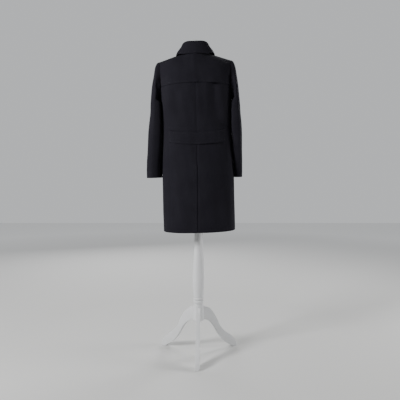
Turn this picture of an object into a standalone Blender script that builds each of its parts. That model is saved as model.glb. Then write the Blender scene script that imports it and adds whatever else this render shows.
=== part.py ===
"""An overcoat on a limbless dress form with a turned wooden tripod, in metres, +Z up.

The coat is made of cloth walls: each panel is a grid of points on one shared torso surface, closed by
a second grid a cloth's thickness inside it. The coat faces -Y and the wearer's left is +X. Pieces of
the coat are named after the wearer's own left and right. The coat and the form lean a little together,
about the top of the pole. The origin lies on the floor under the middle of the whole part's box.
"""
import math
from typing import NamedTuple

import bmesh
import bpy
from mathutils import Matrix, Vector

# Cloth and seams
CLOTH = 0.0020
SEAM_GAP = 0.0003
LAYER_GAP = 0.00035
UNDERLAP_GAP = 0.00045
UNDERLAP_DEPTH = CLOTH + UNDERLAP_GAP
SLEEVE_GAP = 0.0006
NECK_MARGIN = 0.0004
LAPPED_NECK_MARGIN = 0.0035

# Where the whole part stands: the pole's axis, and the lean of coat and form about the pole's top
POLE_AXIS = (-0.0210, -0.0490)
LEAN = math.radians(1.5)
LEAN_PIVOT = 0.900

# Heights of the coat's own lines
HEM_HEIGHT = 0.685
VENT_HEIGHT = 1.029
BELT_BOTTOM = 1.1405
BELT_MIDDLE = 1.1715
BELT_TOP = 1.2025
UNDERARM_HEIGHT = 1.386
YOKE_HEIGHT = 1.455
ROW_HEIGHTS = (HEM_HEIGHT, 0.755, 0.825, 0.895, 0.965, VENT_HEIGHT, 1.085, BELT_BOTTOM, BELT_MIDDLE,
               BELT_TOP, 1.250, 1.300, 1.345, UNDERARM_HEIGHT, 1.420, YOKE_HEIGHT)
UPPER_RISES = (0.2, 0.4, 0.6, 0.8, 0.95, 1.0)
BEND_START = 0.10
BEND_END = 0.55

# Belt droop: the half belt hangs lower at the centre back than at its ends
BELT_DROOP = 0.018
BELT_HALF_LENGTH = 0.147
DROOP_REACH = 0.110

# Yoke flap: its free edge is a little higher at the centre back than at the armholes
YOKE_CENTRE_DROP = 0.0023
YOKE_END_DROP = 0.0120
YOKE_HALF_WIDTH = 0.174
YOKE_EDGE_LIFT = 0.0003

# Neck and shoulders
NECK_HALF_WIDTH = 0.072
NECK_BACK = 0.058
NECK_FRONT = -0.082
NECK_SIDE = 0.004
NECK_BACK_HEIGHT = 1.6165
NECK_SIDE_HEIGHT = 1.6155
NECK_FRONT_HEIGHT = 1.553
SHOULDER_TIP = (0.187, 0.000, 1.578)
NECK_COLUMN_X = 0.068
BACK_NECK_COLUMNS = (0.0, 0.026, 0.048)
FRONT_NECK_COLUMNS = (-0.030, 0.0, 0.030, 0.043, 0.056)
SHOULDER_CELLS = 5
ARMHOLE_STRIP_SHARE = 0.045
SIDE_CELLS = 6

# Front overlap, vent and buttons
OVERLAP = 0.030
OVERLAP_FADE = 0.049
VENT_CELLS = 3
BUTTON_HEIGHTS = (1.420, 1.290, 1.160, 1.030)
BUTTON_RADIUS = 0.014
BUTTON_THICKNESS = 0.0045
BUTTON_GAP = 0.0004

# Sleeves
SLEEVE_COLUMNS = 18
SLEEVE_SQUARENESS = 2.2
RIGHT_SLEEVE_DROP = 0.007
UNDER_SLEEVE = (6, 12)

# Collar
SIDE_NECK_PLACE = 0.45
COLLAR_END_ANGLE = math.radians(3.0)
COLLAR_SEAM_GAP = 0.0011
COLLAR_SHIFT = -0.0045

# Dress form
FORM_BASE = 0.900
FORM_GAP = 0.0004
FORM_YOKE_CLEARANCE = 0.012
FORM_NECK_CLEARANCE = 0.003
FORM_TIP_INSET = 0.011
NECK_RADIUS = 0.052
NECK_CENTRE_Y = 0.004
NECK_TOP = 1.664
CAP_RADIUS = 0.050
CAP_EDGE = 0.006
CAP_TOP = 1.6880
CAP_STEPS = 7

# Stand
POLE_TOP = 0.8990
POLE_BOTTOM = 0.3160
HUB_TOP = POLE_BOTTOM - SEAM_GAP
HUB_BOTTOM = 0.1830
LEG_THICKNESS = 0.0225
LEG_ROOT = 0.0240
TRIPOD_TURN = math.radians(-1.5)
SCREW_STEPS = 24


class Section(NamedTuple):
    """One level section of the coat's body: half width, depths behind and before the axis, squareness."""
    height: float
    half_width: float
    back: float
    front: float
    squareness: float


BODY = (
    Section(HEM_HEIGHT, 0.1920, 0.135, 0.137, 2.35),
    Section(0.800, 0.1925, 0.133, 0.137, 2.35),
    Section(0.960, 0.1915, 0.128, 0.136, 2.40),
    Section(1.060, 0.1875, 0.121, 0.133, 2.45),
    Section(BELT_MIDDLE, 0.1840, 0.113, 0.130, 2.50),
    Section(1.280, 0.1860, 0.116, 0.135, 2.60),
    Section(UNDERARM_HEIGHT, 0.1880, 0.122, 0.139, 2.80),
    Section(1.500, 0.1870, 0.122, 0.133, 3.00),
)

FORM = (
    Section(FORM_BASE, 0.1640, 0.100, 0.104, 2.2),
    Section(0.960, 0.1680, 0.106, 0.108, 2.2),
    Section(1.050, 0.1620, 0.098, 0.104, 2.2),
    Section(1.170, 0.1300, 0.082, 0.092, 2.2),
    Section(1.280, 0.1450, 0.092, 0.112, 2.3),
    Section(1.386, 0.1620, 0.104, 0.123, 2.5),
)


class SeamPlace(NamedTuple):
    """How far from the middle the side back and side front seams run, at one height."""
    height: float
    back: float
    front: float


SEAMS = (
    SeamPlace(HEM_HEIGHT, 0.150, 0.150),
    SeamPlace(BELT_MIDDLE, 0.147, 0.147),
    SeamPlace(1.300, 0.153, 0.152),
    SeamPlace(1.400, 0.169, 0.167),
    SeamPlace(YOKE_HEIGHT, 0.179, 0.176),
)


class SleeveRing(NamedTuple):
    """One ring of a sleeve: its outer and inner heights, outer and inner distances on each side, and depth."""
    share: float
    outer_height: float
    inner_height: float
    outer_left: float
    outer_right: float
    inner_left: float
    inner_right: float
    back: float
    front: float


SLEEVE = (
    SleeveRing(0.00, 1.578, 1.386, 0.1875, 0.1875, 0.1885, 0.1885, 0.062, -0.070),
    SleeveRing(0.04, 1.573, 1.381, 0.2010, 0.2000, 0.1902, 0.1902, 0.068, -0.074),
    SleeveRing(0.09, 1.552, 1.372, 0.2115, 0.2095, 0.1914, 0.1908, 0.073, -0.078),
    SleeveRing(0.16, 1.510, 1.357, 0.2195, 0.2165, 0.1912, 0.1905, 0.077, -0.081),
    SleeveRing(0.25, 1.455, 1.334, 0.2310, 0.2235, 0.1905, 0.1900, 0.080, -0.083),
    SleeveRing(0.35, 1.385, 1.295, 0.2400, 0.2295, 0.1890, 0.1888, 0.081, -0.083),
    SleeveRing(0.46, 1.305, 1.243, 0.2470, 0.2350, 0.1878, 0.1878, 0.078, -0.082),
    SleeveRing(0.60, 1.215, 1.182, 0.2590, 0.2395, 0.1868, 0.1866, 0.071, -0.081),
    SleeveRing(0.75, 1.115, 1.103, 0.2680, 0.2390, 0.1915, 0.1905, 0.060, -0.080),
    SleeveRing(0.88, 1.035, 1.033, 0.2755, 0.2395, 0.1975, 0.1930, 0.050, -0.078),
    SleeveRing(1.00, 0.972, 0.972, 0.2765, 0.2370, 0.2015, 0.1955, 0.043, -0.076),
)
SLEEVE_SHARES = (0.0, 0.04, 0.09, 0.16, 0.24, 0.33, 0.42, 0.51, 0.60, 0.70, 0.80, 0.90, 1.0)


class Fold(NamedTuple):
    """One soft vertical fold of the cloth: a trough where depth is more than 0, a ridge where it is less."""
    behind: bool
    top_x: float
    top_height: float
    foot_x: float
    foot_height: float
    half_width: float
    depth: float


FOLDS = (
    Fold(True, -0.094, 1.445, -0.100, 1.235, 0.045, 0.0070),
    Fold(True, 0.108, 1.430, 0.100, 1.260, 0.040, 0.0025),
    Fold(True, 0.152, 0.960, 0.112, 0.700, 0.035, 0.0045),
    Fold(True, -0.098, 0.930, -0.110, 0.680, 0.035, 0.0030),
    Fold(False, -0.115, 1.350, -0.095, 1.200, 0.040, 0.0035),
    Fold(False, 0.110, 1.360, 0.100, 1.210, 0.040, 0.0040),
    Fold(False, 0.098, 0.960, 0.116, 0.690, 0.035, 0.0040),
    Fold(False, -0.110, 0.930, -0.100, 0.690, 0.035, 0.0035),
)


class CollarStation(NamedTuple):
    """The collar at one place from the centre back, 0, to the centre front, 1: its fold and outer edge."""
    place: float
    fold_out: float
    fold_height: float
    edge_x: float
    edge_y: float
    edge_height: float
    bulge: float


COLLAR = (
    CollarStation(0.00, 0.004, 1.6645, 0.000, 0.0705, 1.6080, 0.003),
    CollarStation(0.15, 0.004, 1.6645, 0.037, 0.0650, 1.6085, 0.003),
    CollarStation(0.26, 0.001, 1.6605, 0.066, 0.0545, 1.6090, 0.004),
    CollarStation(0.36, -0.002, 1.6515, 0.090, 0.0365, 1.6130, 0.005),
    CollarStation(0.45, -0.002, 1.6425, 0.102, 0.0040, 1.6135, 0.005),
    CollarStation(0.60, -0.004, 1.6270, 0.101, -0.0480, 1.6010, 0.009),
    CollarStation(0.78, -0.003, 1.6020, 0.088, -0.0960, 1.5700, 0.013),
    CollarStation(0.90, 0.000, 1.5880, 0.074, -0.1200, 1.5340, 0.014),
    CollarStation(1.00, 0.001, 1.5820, 0.060, -0.1320, 1.4960, 0.013),
)


class PocketWelt(NamedTuple):
    """A slanted pocket welt on a side panel: the places of its two ends across the panel, and its gape."""
    side: int
    low_place: float
    low_height: float
    high_place: float
    high_height: float
    width: float
    gape: float


WELTS = (
    PocketWelt(1, 0.44, 0.988, 0.86, 1.106, 0.030, 0.0050),
    PocketWelt(-1, 0.48, 0.988, 0.88, 1.106, 0.030, 0.0010),
)
WELT_CELLS = 6
WELT_LIFT = 0.0007

# Profiles of the turned stand, from top to bottom: height and radius
POLE_PROFILE = (
    (POLE_TOP, 0.0200), (0.780, 0.0205), (0.700, 0.0212), (0.640, 0.0220), (0.600, 0.0230),
    (0.546, 0.0262), (0.493, 0.0296), (0.441, 0.0318), (0.407, 0.0323), (0.374, 0.0310),
    (0.341, 0.0290), (POLE_BOTTOM, 0.0268),
)
BEAD_RADIUS = 0.0280
GROOVE_RADIUS = 0.0245
BEADS = ((0.3066, 0.0088), (0.2882, 0.0096))
HUB_PROFILE = ((0.2760, 0.0272), (0.2500, 0.0278), (0.2200, 0.0290), (0.1950, 0.0302))
HUB_EDGE = 0.008

# Side view of a leg: distance from the pole's axis and height, along its top and its underside
LEG_TOP = (
    (LEG_ROOT, 0.2600), (0.040, 0.2565), (0.060, 0.2480), (0.082, 0.2270), (0.101, 0.1995),
    (0.118, 0.1690), (0.130, 0.1415), (0.146, 0.1185), (0.165, 0.0990), (0.187, 0.0820),
    (0.211, 0.0640), (0.226, 0.0470), (0.236, 0.0290), (0.2425, 0.0080), (0.2430, 0.0000),
)
LEG_UNDERSIDE = (
    (0.2150, 0.0000), (0.2020, 0.0115), (0.177, 0.0275), (0.154, 0.0485), (0.131, 0.0780),
    (0.115, 0.1040), (0.099, 0.1310), (0.079, 0.1570), (0.057, 0.1755), (LEG_ROOT, 0.1905),
)
LEG_HUB_CLEARANCE = 0.0003

MATERIALS = {
    "coat_cloth": ((0.022, 0.021, 0.030), 0.90, 0.0),
    "horn_button": ((0.012, 0.012, 0.014), 0.35, 0.0),
    "form_cover": ((0.70, 0.70, 0.70), 0.85, 0.0),
    "white_paint": ((0.72, 0.73, 0.75), 0.45, 0.0),
}

Grid = list[list[Vector]]


def clear_scene() -> None:
    """Remove the objects that the scene starts with."""
    for item in list(bpy.data.objects):
        bpy.data.objects.remove(item, do_unlink=True)


def make_material(name: str) -> bpy.types.Material:
    """Return the named plain material, made once."""
    if name in bpy.data.materials:
        return bpy.data.materials[name]
    colour, roughness, metallic = MATERIALS[name]
    material = bpy.data.materials.new(name)
    material.use_nodes = True
    shader = material.node_tree.nodes["Principled BSDF"]
    shader.inputs["Base Color"].default_value = (*colour, 1.0)
    shader.inputs["Roughness"].default_value = roughness
    shader.inputs["Metallic"].default_value = metallic
    return material


def smooth_step(value: float) -> float:
    """Return 0 below 0, 1 above 1, and a smooth rise between."""
    value = min(max(value, 0.0), 1.0)
    return value * value * (3.0 - 2.0 * value)


def read_row(rows: tuple, place: float):
    """Return a table's row at a place along its first column, on a smooth curve through its rows."""
    places = [row[0] for row in rows]
    place = min(max(place, places[0]), places[-1])
    last = len(rows) - 2
    index = min(sum(1 for start in places if start <= place) - 1, last)
    span = places[index + 1] - places[index]
    share = (place - places[index]) / span
    values = []
    for column in range(1, len(rows[0])):
        slopes = []
        for node in (index, index + 1):
            before = max(node - 1, 0)
            after = min(node + 1, last + 1)
            rise = rows[after][column] - rows[before][column]
            slopes.append(rise / (places[after] - places[before]) * span)
        start = rows[index][column]
        change = rows[index + 1][column] - start
        bend = 3.0 * change - 2.0 * slopes[0] - slopes[1]
        twist = slopes[0] + slopes[1] - 2.0 * change
        values.append(start + share * (slopes[0] + share * (bend + share * twist)))
    return type(rows[0])(place, *values)


def depth_at(section: Section, x: float, depth: float) -> float:
    """Return how deep a level section is at a distance from its middle."""
    share = min(abs(x) / section.half_width, 1.0)
    return depth * (1.0 - share ** section.squareness) ** (1.0 / section.squareness)


def width_at(section: Section, y: float) -> float:
    """Return how wide a level section is at a distance before or behind its middle."""
    depth = section.back if y > 0 else section.front
    share = min(abs(y) / depth, 1.0)
    return section.half_width * (1.0 - share ** section.squareness) ** (1.0 / section.squareness)


def belt_droop(x: float, height: float) -> float:
    """Return how far a row of the back is raised at its ends, so that the rows follow the belt's sag."""
    nearness = 1.0 - smooth_step(abs(height - BELT_MIDDLE) / DROOP_REACH)
    return BELT_DROOP * (x / BELT_HALF_LENGTH) ** 2 * nearness


def neckline(place: float) -> Vector:
    """Return the wearer's left neckline from the centre back, 0, past the side neck to the centre front, 1."""
    if place <= SIDE_NECK_PLACE:
        angle = place / SIDE_NECK_PLACE * math.pi / 2
        depth = (NECK_BACK - NECK_SIDE) * math.cos(angle)
        height = NECK_SIDE_HEIGHT + (NECK_BACK_HEIGHT - NECK_SIDE_HEIGHT) * math.cos(angle)
    else:
        angle = (1.0 - place) / (1.0 - SIDE_NECK_PLACE) * math.pi / 2
        depth = (NECK_FRONT - NECK_SIDE) * math.cos(angle)
        height = NECK_SIDE_HEIGHT + (NECK_FRONT_HEIGHT - NECK_SIDE_HEIGHT) * math.cos(angle) ** 2
    return Vector((NECK_HALF_WIDTH * math.sin(angle), NECK_SIDE + depth, height))


def shoulder_line(share: float) -> Vector:
    """Return the shoulder seam from the side neck, 0, to the shoulder tip, 1."""
    return neckline(SIDE_NECK_PLACE).lerp(Vector(SHOULDER_TIP), share)


def column_neck_place(x: float, behind: bool) -> float:
    """Return the place along the neckline where a column that crosses the yoke line at x ends."""
    start = math.asin(OVERLAP / NECK_COLUMN_X) / (math.pi / 2)
    if x <= OVERLAP:
        share = math.asin(x / NECK_COLUMN_X) / (math.pi / 2)
    else:
        share = start + (1.0 - start) * (min(x, NECK_COLUMN_X) - OVERLAP) / (NECK_COLUMN_X - OVERLAP)
    return share * SIDE_NECK_PLACE if behind else 1.0 - share * (1.0 - SIDE_NECK_PLACE)


def top_edge(x: float, outer_x: float, behind: bool) -> Vector:
    """Return the end of a column that crosses the yoke line at x: on the neckline or the shoulder."""
    if x < NECK_COLUMN_X:
        return neckline(column_neck_place(x, behind))
    return shoulder_line((x - NECK_COLUMN_X) / (outer_x - NECK_COLUMN_X))


def upper_point(start: Vector, end: Vector, share: float, rise: float) -> Vector:
    """Return a point on a column above the yoke line, which bends over from upright to the shoulder."""
    over = smooth_step((share - BEND_START) / (BEND_END - BEND_START))
    quarter = rise * math.pi / 2
    level = (1.0 - over) * rise ** 1.9 + over * (1.0 - math.cos(quarter))
    climb = (1.0 - over) * rise + over * math.sin(quarter)
    return Vector((start.x + (end.x - start.x) * rise,
                   start.y + (end.y - start.y) * level,
                   start.z + (end.z - start.z) * climb))


def yoke_columns(outer_x: float, neck_columns: tuple) -> list[float]:
    """Return where the columns of a front or back cross the yoke line, from its middle to its seam."""
    step = (outer_x - NECK_COLUMN_X) * (1.0 - ARMHOLE_STRIP_SHARE) / SHOULDER_CELLS
    shoulder = [NECK_COLUMN_X + step * cell for cell in range(SHOULDER_CELLS + 1)]
    return list(neck_columns) + shoulder + [outer_x]


def fold_depth(point: Vector) -> float:
    """Return how far the folds move a point of the body inward."""
    total = 0.0
    for fold in FOLDS:
        if fold.behind != (point.y > 0):
            continue
        span = fold.top_height - fold.foot_height
        share = (point.z - fold.foot_height) / span
        middle = fold.foot_x + (fold.top_x - fold.foot_x) * share
        across = abs(point.x - middle) / fold.half_width
        along = smooth_step(share / 0.3) * smooth_step((1.0 - share) / 0.15)
        total += fold.depth * (1.0 - smooth_step(across)) * along
    return total


def wide_panel(side: int, behind: bool) -> Grid:
    """Return the outer points of a back or a front, from hem to shoulder, row by row."""
    seam = read_row(SEAMS, YOKE_HEIGHT)
    outer_x = seam.back if behind else seam.front
    columns = yoke_columns(outer_x, BACK_NECK_COLUMNS if behind else FRONT_NECK_COLUMNS)
    straight_x = 0.0 if behind else OVERLAP
    rows = []
    for height in ROW_HEIGHTS:
        place = read_row(SEAMS, height)
        seam_x = place.back if behind else place.front
        spread = (seam_x - straight_x) / (outer_x - straight_x)
        row = []
        for column_x in columns:
            x = column_x if column_x <= straight_x else straight_x + (column_x - straight_x) * spread
            z = height + (belt_droop(x, height) if behind else 0.0)
            section = read_row(BODY, z)
            depth = depth_at(section, x, section.back if behind else section.front)
            row.append(Vector((x, depth if behind else -depth, z)))
        rows.append(row)
    yoke_row = rows[-1]
    for rise in UPPER_RISES:
        row = []
        for start in yoke_row:
            end = top_edge(start.x, outer_x, behind)
            row.append(upper_point(start, end, abs(start.x) / outer_x, rise))
        rows.append(row)
    return [[Vector((side * point.x, point.y, point.z)) for point in row] for row in rows]


def armhole_dip(place: float, height: float) -> float:
    """Return how far a side panel's row dips below its seams, so that the top row follows the armhole."""
    across = abs(2.0 * place - 1.0)
    depth = YOKE_HEIGHT - UNDERARM_HEIGHT
    return depth * math.sqrt(max(1.0 - across * across, 0.0)) * smooth_step((height - 1.25) / 0.2)


def side_surface(place: float, height: float) -> Vector:
    """Return a point on the wearer's left side panel, from its back seam, 0, to its front seam, 1."""
    seam = read_row(SEAMS, height)
    droop = belt_droop(seam.back, height) * (1.0 - place) ** 2
    z = height + droop - armhole_dip(place, height)
    back_section = read_row(BODY, height + belt_droop(seam.back, height))
    front_section = read_row(BODY, height)
    back_y = depth_at(back_section, seam.back, back_section.back)
    front_y = -depth_at(front_section, seam.front, front_section.front)
    y = back_y + (front_y - back_y) * place
    return Vector((width_at(read_row(BODY, z), y), y, z))


def side_panel(side: int) -> Grid:
    """Return the outer points of a side panel, from the hem to the armhole, row by row."""
    rows = []
    for height in ROW_HEIGHTS:
        row = [side_surface(cell / SIDE_CELLS, height) for cell in range(SIDE_CELLS + 1)]
        rows.append([Vector((side * point.x, point.y, point.z)) for point in row])
    return rows


def grid_normals(grid: Grid, flip: bool, closed: bool = False) -> Grid:
    """Return the outward normal at each point of a grid."""
    normals = []
    columns = len(grid[0])
    for row_index, row in enumerate(grid):
        below = grid[max(row_index - 1, 0)]
        above = grid[min(row_index + 1, len(grid) - 1)]
        line = []
        for column in range(columns):
            before = (column - 1) % columns if closed else max(column - 1, 0)
            after = (column + 1) % columns if closed else min(column + 1, columns - 1)
            normal = (above[column] - below[column]).cross(row[after] - row[before])
            line.append(-normal.normalized() if flip else normal.normalized())
        normals.append(line)
    return normals


def share_normals(grids: dict[str, Grid], normals: dict[str, Grid]) -> None:
    """Give points that two panels share one normal, the mean of their own."""
    sums: dict[tuple, Vector] = {}
    for name, grid in grids.items():
        for row, line in zip(grid, normals[name]):
            for point, normal in zip(row, line):
                key = tuple(round(value, 6) for value in point)
                sums[key] = sums.get(key, Vector()) + normal
    for name, grid in grids.items():
        for row, line in zip(grid, normals[name]):
            for column, point in enumerate(row):
                line[column] = sums[tuple(round(value, 6) for value in point)].normalized()


def moved(grid: Grid, normals: Grid, distance: float) -> Grid:
    """Return a grid's points moved out along their normals."""
    return [[point + normal * distance for point, normal in zip(row, line)]
            for row, line in zip(grid, normals)]


def pull_back(grid: Grid, edges: str, neck_margins: tuple = ()) -> Grid:
    """Return a grid with its named edges (last row, first and last column) drawn back by half a seam gap.

    The last row's first columns are drawn back by their own neck margins, to clear the collar.
    """
    gap = SEAM_GAP / 2
    result = [[point.copy() for point in row] for row in grid]

    def shortened(edge: Vector, inner: Vector, distance: float) -> Vector:
        return edge + (inner - edge).normalized() * distance

    if "last_row" in edges:
        distances = neck_margins + (gap,) * (len(result[-1]) - len(neck_margins))
        result[-1] = [shortened(edge, inner, distance)
                      for edge, inner, distance in zip(result[-1], result[-2], distances)]
    for row in result:
        if "first_column" in edges:
            row[0] = shortened(row[0], row[1], gap)
        if "last_column" in edges:
            row[-1] = shortened(row[-1], row[-2], gap)
    return result


def add_object(name: str, mesh: bpy.types.Mesh, material: str) -> bpy.types.Object:
    """Add a mesh as a named object with its own material slot."""
    item = bpy.data.objects.new(name, mesh)
    mesh.materials.append(make_material(material))
    COLLECTION.objects.link(item)
    return item


def finish_mesh(name: str, shape: bmesh.types.BMesh, material: str) -> bpy.types.Object:
    """Turn a closed bmesh into a smooth-shaded object with its faces pointing out."""
    bmesh.ops.recalc_face_normals(shape, faces=shape.faces)
    mesh = bpy.data.meshes.new(name)
    shape.to_mesh(mesh)
    shape.free()
    mesh.shade_smooth()
    mesh.set_sharp_from_angle(angle=math.radians(40.0))
    return add_object(name, mesh, material)


def split_face(shape: bmesh.types.BMesh, corners: tuple, from_first: bool) -> None:
    """Add a four-cornered face as two triangles that meet on the diagonal from its first or second corner."""
    first, second, third, fourth = corners
    if from_first:
        shape.faces.new((first, second, third))
        shape.faces.new((first, third, fourth))
    else:
        shape.faces.new((first, second, fourth))
        shape.faces.new((second, third, fourth))


def add_wall(name: str, outer: Grid, inner: Grid, material: str = "coat_cloth",
             absent: set = frozenset()) -> bpy.types.Object:
    """Add a cloth wall between two grids, leaving out the absent cells, with its edges closed.

    Every cell is split from its lower corner nearest the middle plane, so that layers lie parallel.
    """
    shape = bmesh.new()
    corners: dict[tuple, bmesh.types.BMVert] = {}

    def corner(layer: int, row: int, column: int) -> bmesh.types.BMVert:
        key = (layer, row, column)
        if key not in corners:
            corners[key] = shape.verts.new((outer, inner)[layer][row][column])
        return corners[key]

    cells = [(row, column) for row in range(len(outer) - 1) for column in range(len(outer[0]) - 1)
             if (row, column) not in absent]
    for row, column in cells:
        loop = ((row, column), (row, column + 1), (row + 1, column + 1), (row + 1, column))
        from_first = abs(outer[row][column].x) <= abs(outer[row][column + 1].x)
        for layer in (0, 1):
            split_face(shape, tuple(corner(layer, *place) for place in loop), from_first)
        beyond = ((row - 1, column), (row, column + 1), (row + 1, column), (row, column - 1))
        for side, neighbour in enumerate(beyond):
            if neighbour not in cells:
                start = loop[side]
                end = loop[(side + 1) % 4]
                rim = (corner(0, *end), corner(0, *start), corner(1, *start), corner(1, *end))
                split_face(shape, rim, (rim[0].co - rim[2].co).length <= (rim[1].co - rim[3].co).length)
    return finish_mesh(name, shape, material)


def lapped_over(grid: Grid, normals: Grid) -> Grid:
    """Return a front lifted along its normals where it laps over the other front."""
    result = []
    for row, line in zip(grid, normals):
        lifts = [UNDERLAP_DEPTH * (1.0 - smooth_step((abs(point.x) - OVERLAP) / (OVERLAP_FADE - OVERLAP)))
                 for point in row]
        result.append([point + normal * lift for point, normal, lift in zip(row, line, lifts)])
    return result


def coat_grids() -> tuple[dict[str, Grid], dict[str, Grid]]:
    """Return the outer points and normals of the six body panels, with their folds."""
    grids = {}
    flips = {}
    for label, side in (("left", 1), ("right", -1)):
        grids[f"back_{label}"] = wide_panel(side, True)
        grids[f"front_{label}"] = wide_panel(side, False)
        grids[f"side_{label}"] = side_panel(side)
        flips[f"back_{label}"] = side < 0
        flips[f"front_{label}"] = side > 0
        flips[f"side_{label}"] = side < 0
    plain = {name: grid_normals(grid, flips[name]) for name, grid in grids.items()}
    share_normals(grids, plain)
    for name, grid in grids.items():
        grids[name] = [[point - normal * fold_depth(point) for point, normal in zip(row, line)]
                       for row, line in zip(grid, plain[name])]
    normals = {name: grid_normals(grid, flips[name]) for name, grid in grids.items()}
    share_normals(grids, normals)
    return grids, normals


def make_backs(grids: dict[str, Grid], normals: dict[str, Grid]) -> None:
    """Make the two backs, with the vent's underlap on the right one, beneath the left one."""
    edges = "first_column last_column last_row"
    neck_margins = (NECK_MARGIN,) * (len(BACK_NECK_COLUMNS) + 1)
    left = grids["back_left"]
    left_normals = normals["back_left"]
    add_wall("back_left", pull_back(left, edges, neck_margins),
             pull_back(moved(left, left_normals, -CLOTH), edges, neck_margins))

    vent_row = ROW_HEIGHTS.index(VENT_HEIGHT)
    right = [list(row) for row in grids["back_right"]]
    right_normals = normals["back_right"]
    outer = []
    inner = []
    for index, row in enumerate(right):
        sunk = UNDERLAP_DEPTH if index <= vent_row else 0.0
        outer_row = [point.copy() for point in row]
        outer_row[0] = row[0] - right_normals[index][0] * sunk
        inner_row = [point - normal * CLOTH for point, normal in zip(outer_row, right_normals[index])]
        outer.append(outer_row)
        inner.append(inner_row)
    plain_edges = "last_column last_row"
    outer = pull_back(outer, plain_edges, neck_margins)
    inner = pull_back(inner, plain_edges, neck_margins)
    for index in range(len(right)):
        if index > vent_row:
            for rows in (outer, inner):
                rows[index][0] += (rows[index][1] - rows[index][0]).normalized() * SEAM_GAP / 2
        tab_outer = [left[index][cell] - left_normals[index][cell] * UNDERLAP_DEPTH
                     for cell in range(VENT_CELLS, 0, -1)]
        tab_inner = [left[index][cell] - left_normals[index][cell] * (UNDERLAP_DEPTH + CLOTH)
                     for cell in range(VENT_CELLS, 0, -1)]
        outer[index] = tab_outer + outer[index]
        inner[index] = tab_inner + inner[index]
    absent = {(row, column) for row in range(vent_row, len(right) - 1) for column in range(VENT_CELLS)}
    add_wall("back_right", outer, inner, absent=absent)


def make_fronts(grids: dict[str, Grid], normals: dict[str, Grid]) -> None:
    """Make the two fronts: the right one laps over the left one and is lifted over it."""
    edges = "last_column last_row"
    neck_margins = (NECK_MARGIN,) * (len(FRONT_NECK_COLUMNS) + 1)
    left = grids["front_left"]
    add_wall("front_left", pull_back(left, edges, neck_margins),
             pull_back(moved(left, normals["front_left"], -CLOTH), edges, neck_margins))
    lifted = lapped_over(grids["front_right"], normals["front_right"])
    inner = moved(lifted, normals["front_right"], -CLOTH)
    lapped = sum(1 for x in FRONT_NECK_COLUMNS if x < OVERLAP_FADE)
    neck_margins = (LAPPED_NECK_MARGIN,) * lapped + neck_margins[lapped:]
    add_wall("front_right", pull_back(lifted, edges, neck_margins), pull_back(inner, edges, neck_margins))


def make_sides(grids: dict[str, Grid], normals: dict[str, Grid]) -> None:
    """Make the two side panels."""
    edges = "first_column last_column"
    for label in ("left", "right"):
        name = f"side_{label}"
        inner = moved(grids[name], normals[name], -CLOTH)
        add_wall(name, pull_back(grids[name], edges), pull_back(inner, edges))


def make_yoke_flap(grids: dict[str, Grid], normals: dict[str, Grid]) -> None:
    """Make the loose flap over the upper back from the backs' own points, moved out."""
    first = len(ROW_HEIGHTS) - 1
    rows = {}
    for label in ("left", "right"):
        grid = grids[f"back_{label}"]
        lines = normals[f"back_{label}"]
        edge_row = []
        edge_line = []
        for column, point in enumerate(grid[first]):
            share = (point.x / YOKE_HALF_WIDTH) ** 2
            drop = YOKE_CENTRE_DROP + (YOKE_END_DROP - YOKE_CENTRE_DROP) * share
            below = grid[first - 1][column]
            way = drop / (below - point).length
            normal = lines[first][column].lerp(lines[first - 1][column], way)
            edge_row.append(point.lerp(below, way) + normal * YOKE_EDGE_LIFT)
            edge_line.append(normal)
        rows[label] = ([row[:-1] for row in [edge_row] + grid[first:-1]],
                       [line[:-1] for line in [edge_line] + lines[first:-1]])
    grid = []
    lines = []
    for index in range(len(rows["left"][0])):
        left_points, left_normals = (part[index] for part in rows["left"])
        right_points, right_normals = (part[index] for part in rows["right"])
        grid.append(left_points[::-1] + right_points[1:])
        lines.append(left_normals[::-1] + right_normals[1:])
    add_wall("yoke_flap", moved(grid, lines, LAYER_GAP + CLOTH), moved(grid, lines, LAYER_GAP))


def make_half_belt(grids: dict[str, Grid], normals: dict[str, Grid]) -> None:
    """Make the half belt from the backs' own points, moved out, from seam to seam."""
    first = ROW_HEIGHTS.index(BELT_BOTTOM)
    last = ROW_HEIGHTS.index(BELT_TOP)
    grid = []
    lines = []
    for index in range(first, last + 1):
        grid.append(grids["back_left"][index][::-1] + grids["back_right"][index][1:])
        lines.append(normals["back_left"][index][::-1] + normals["back_right"][index][1:])
    grid = pull_back(grid, "first_column last_column")
    add_wall("half_belt", moved(grid, lines, LAYER_GAP + CLOTH), moved(grid, lines, LAYER_GAP))


def make_pocket_welts() -> None:
    """Make the slanted pocket welts, raised from the smooth side surface beneath them."""
    for welt in WELTS:
        grid = []
        for row in range(3):
            line = []
            for cell in range(WELT_CELLS + 1):
                share = cell / WELT_CELLS
                place = welt.low_place + (welt.high_place - welt.low_place) * share
                height = welt.low_height + (welt.high_height - welt.low_height) * share
                across = welt.width * (row / 2 - 0.5)
                point = side_surface(place - across * 2.6, height + across * 0.75)
                line.append(Vector((welt.side * point.x, point.y, point.z)))
            grid.append(line)
        lines = grid_normals(grid, welt.side < 0)
        gape = [[normal * welt.gape * smooth_step(1.0 - cell / WELT_CELLS) * (row / 2)
                 for cell, normal in enumerate(line)] for row, line in enumerate(lines)]
        raised = [[point + push for point, push in zip(row, pushes)] for row, pushes in zip(grid, gape)]
        label = "left" if welt.side > 0 else "right"
        add_wall(f"pocket_welt_{label}", moved(raised, lines, WELT_LIFT + CLOTH),
                 moved(raised, lines, WELT_LIFT))


def armhole_loop(grids: dict[str, Grid], label: str) -> list[Vector]:
    """Return the armhole's points, from the shoulder tip by the back, the underarm and the front."""
    first = len(ROW_HEIGHTS) - 1
    back = [row[-1] for row in grids[f"back_{label}"][first:]]
    under = grids[f"side_{label}"][-1]
    front = [row[-1] for row in grids[f"front_{label}"][first:]]
    return back[::-1] + under[1:-1] + front[:-1]


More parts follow.
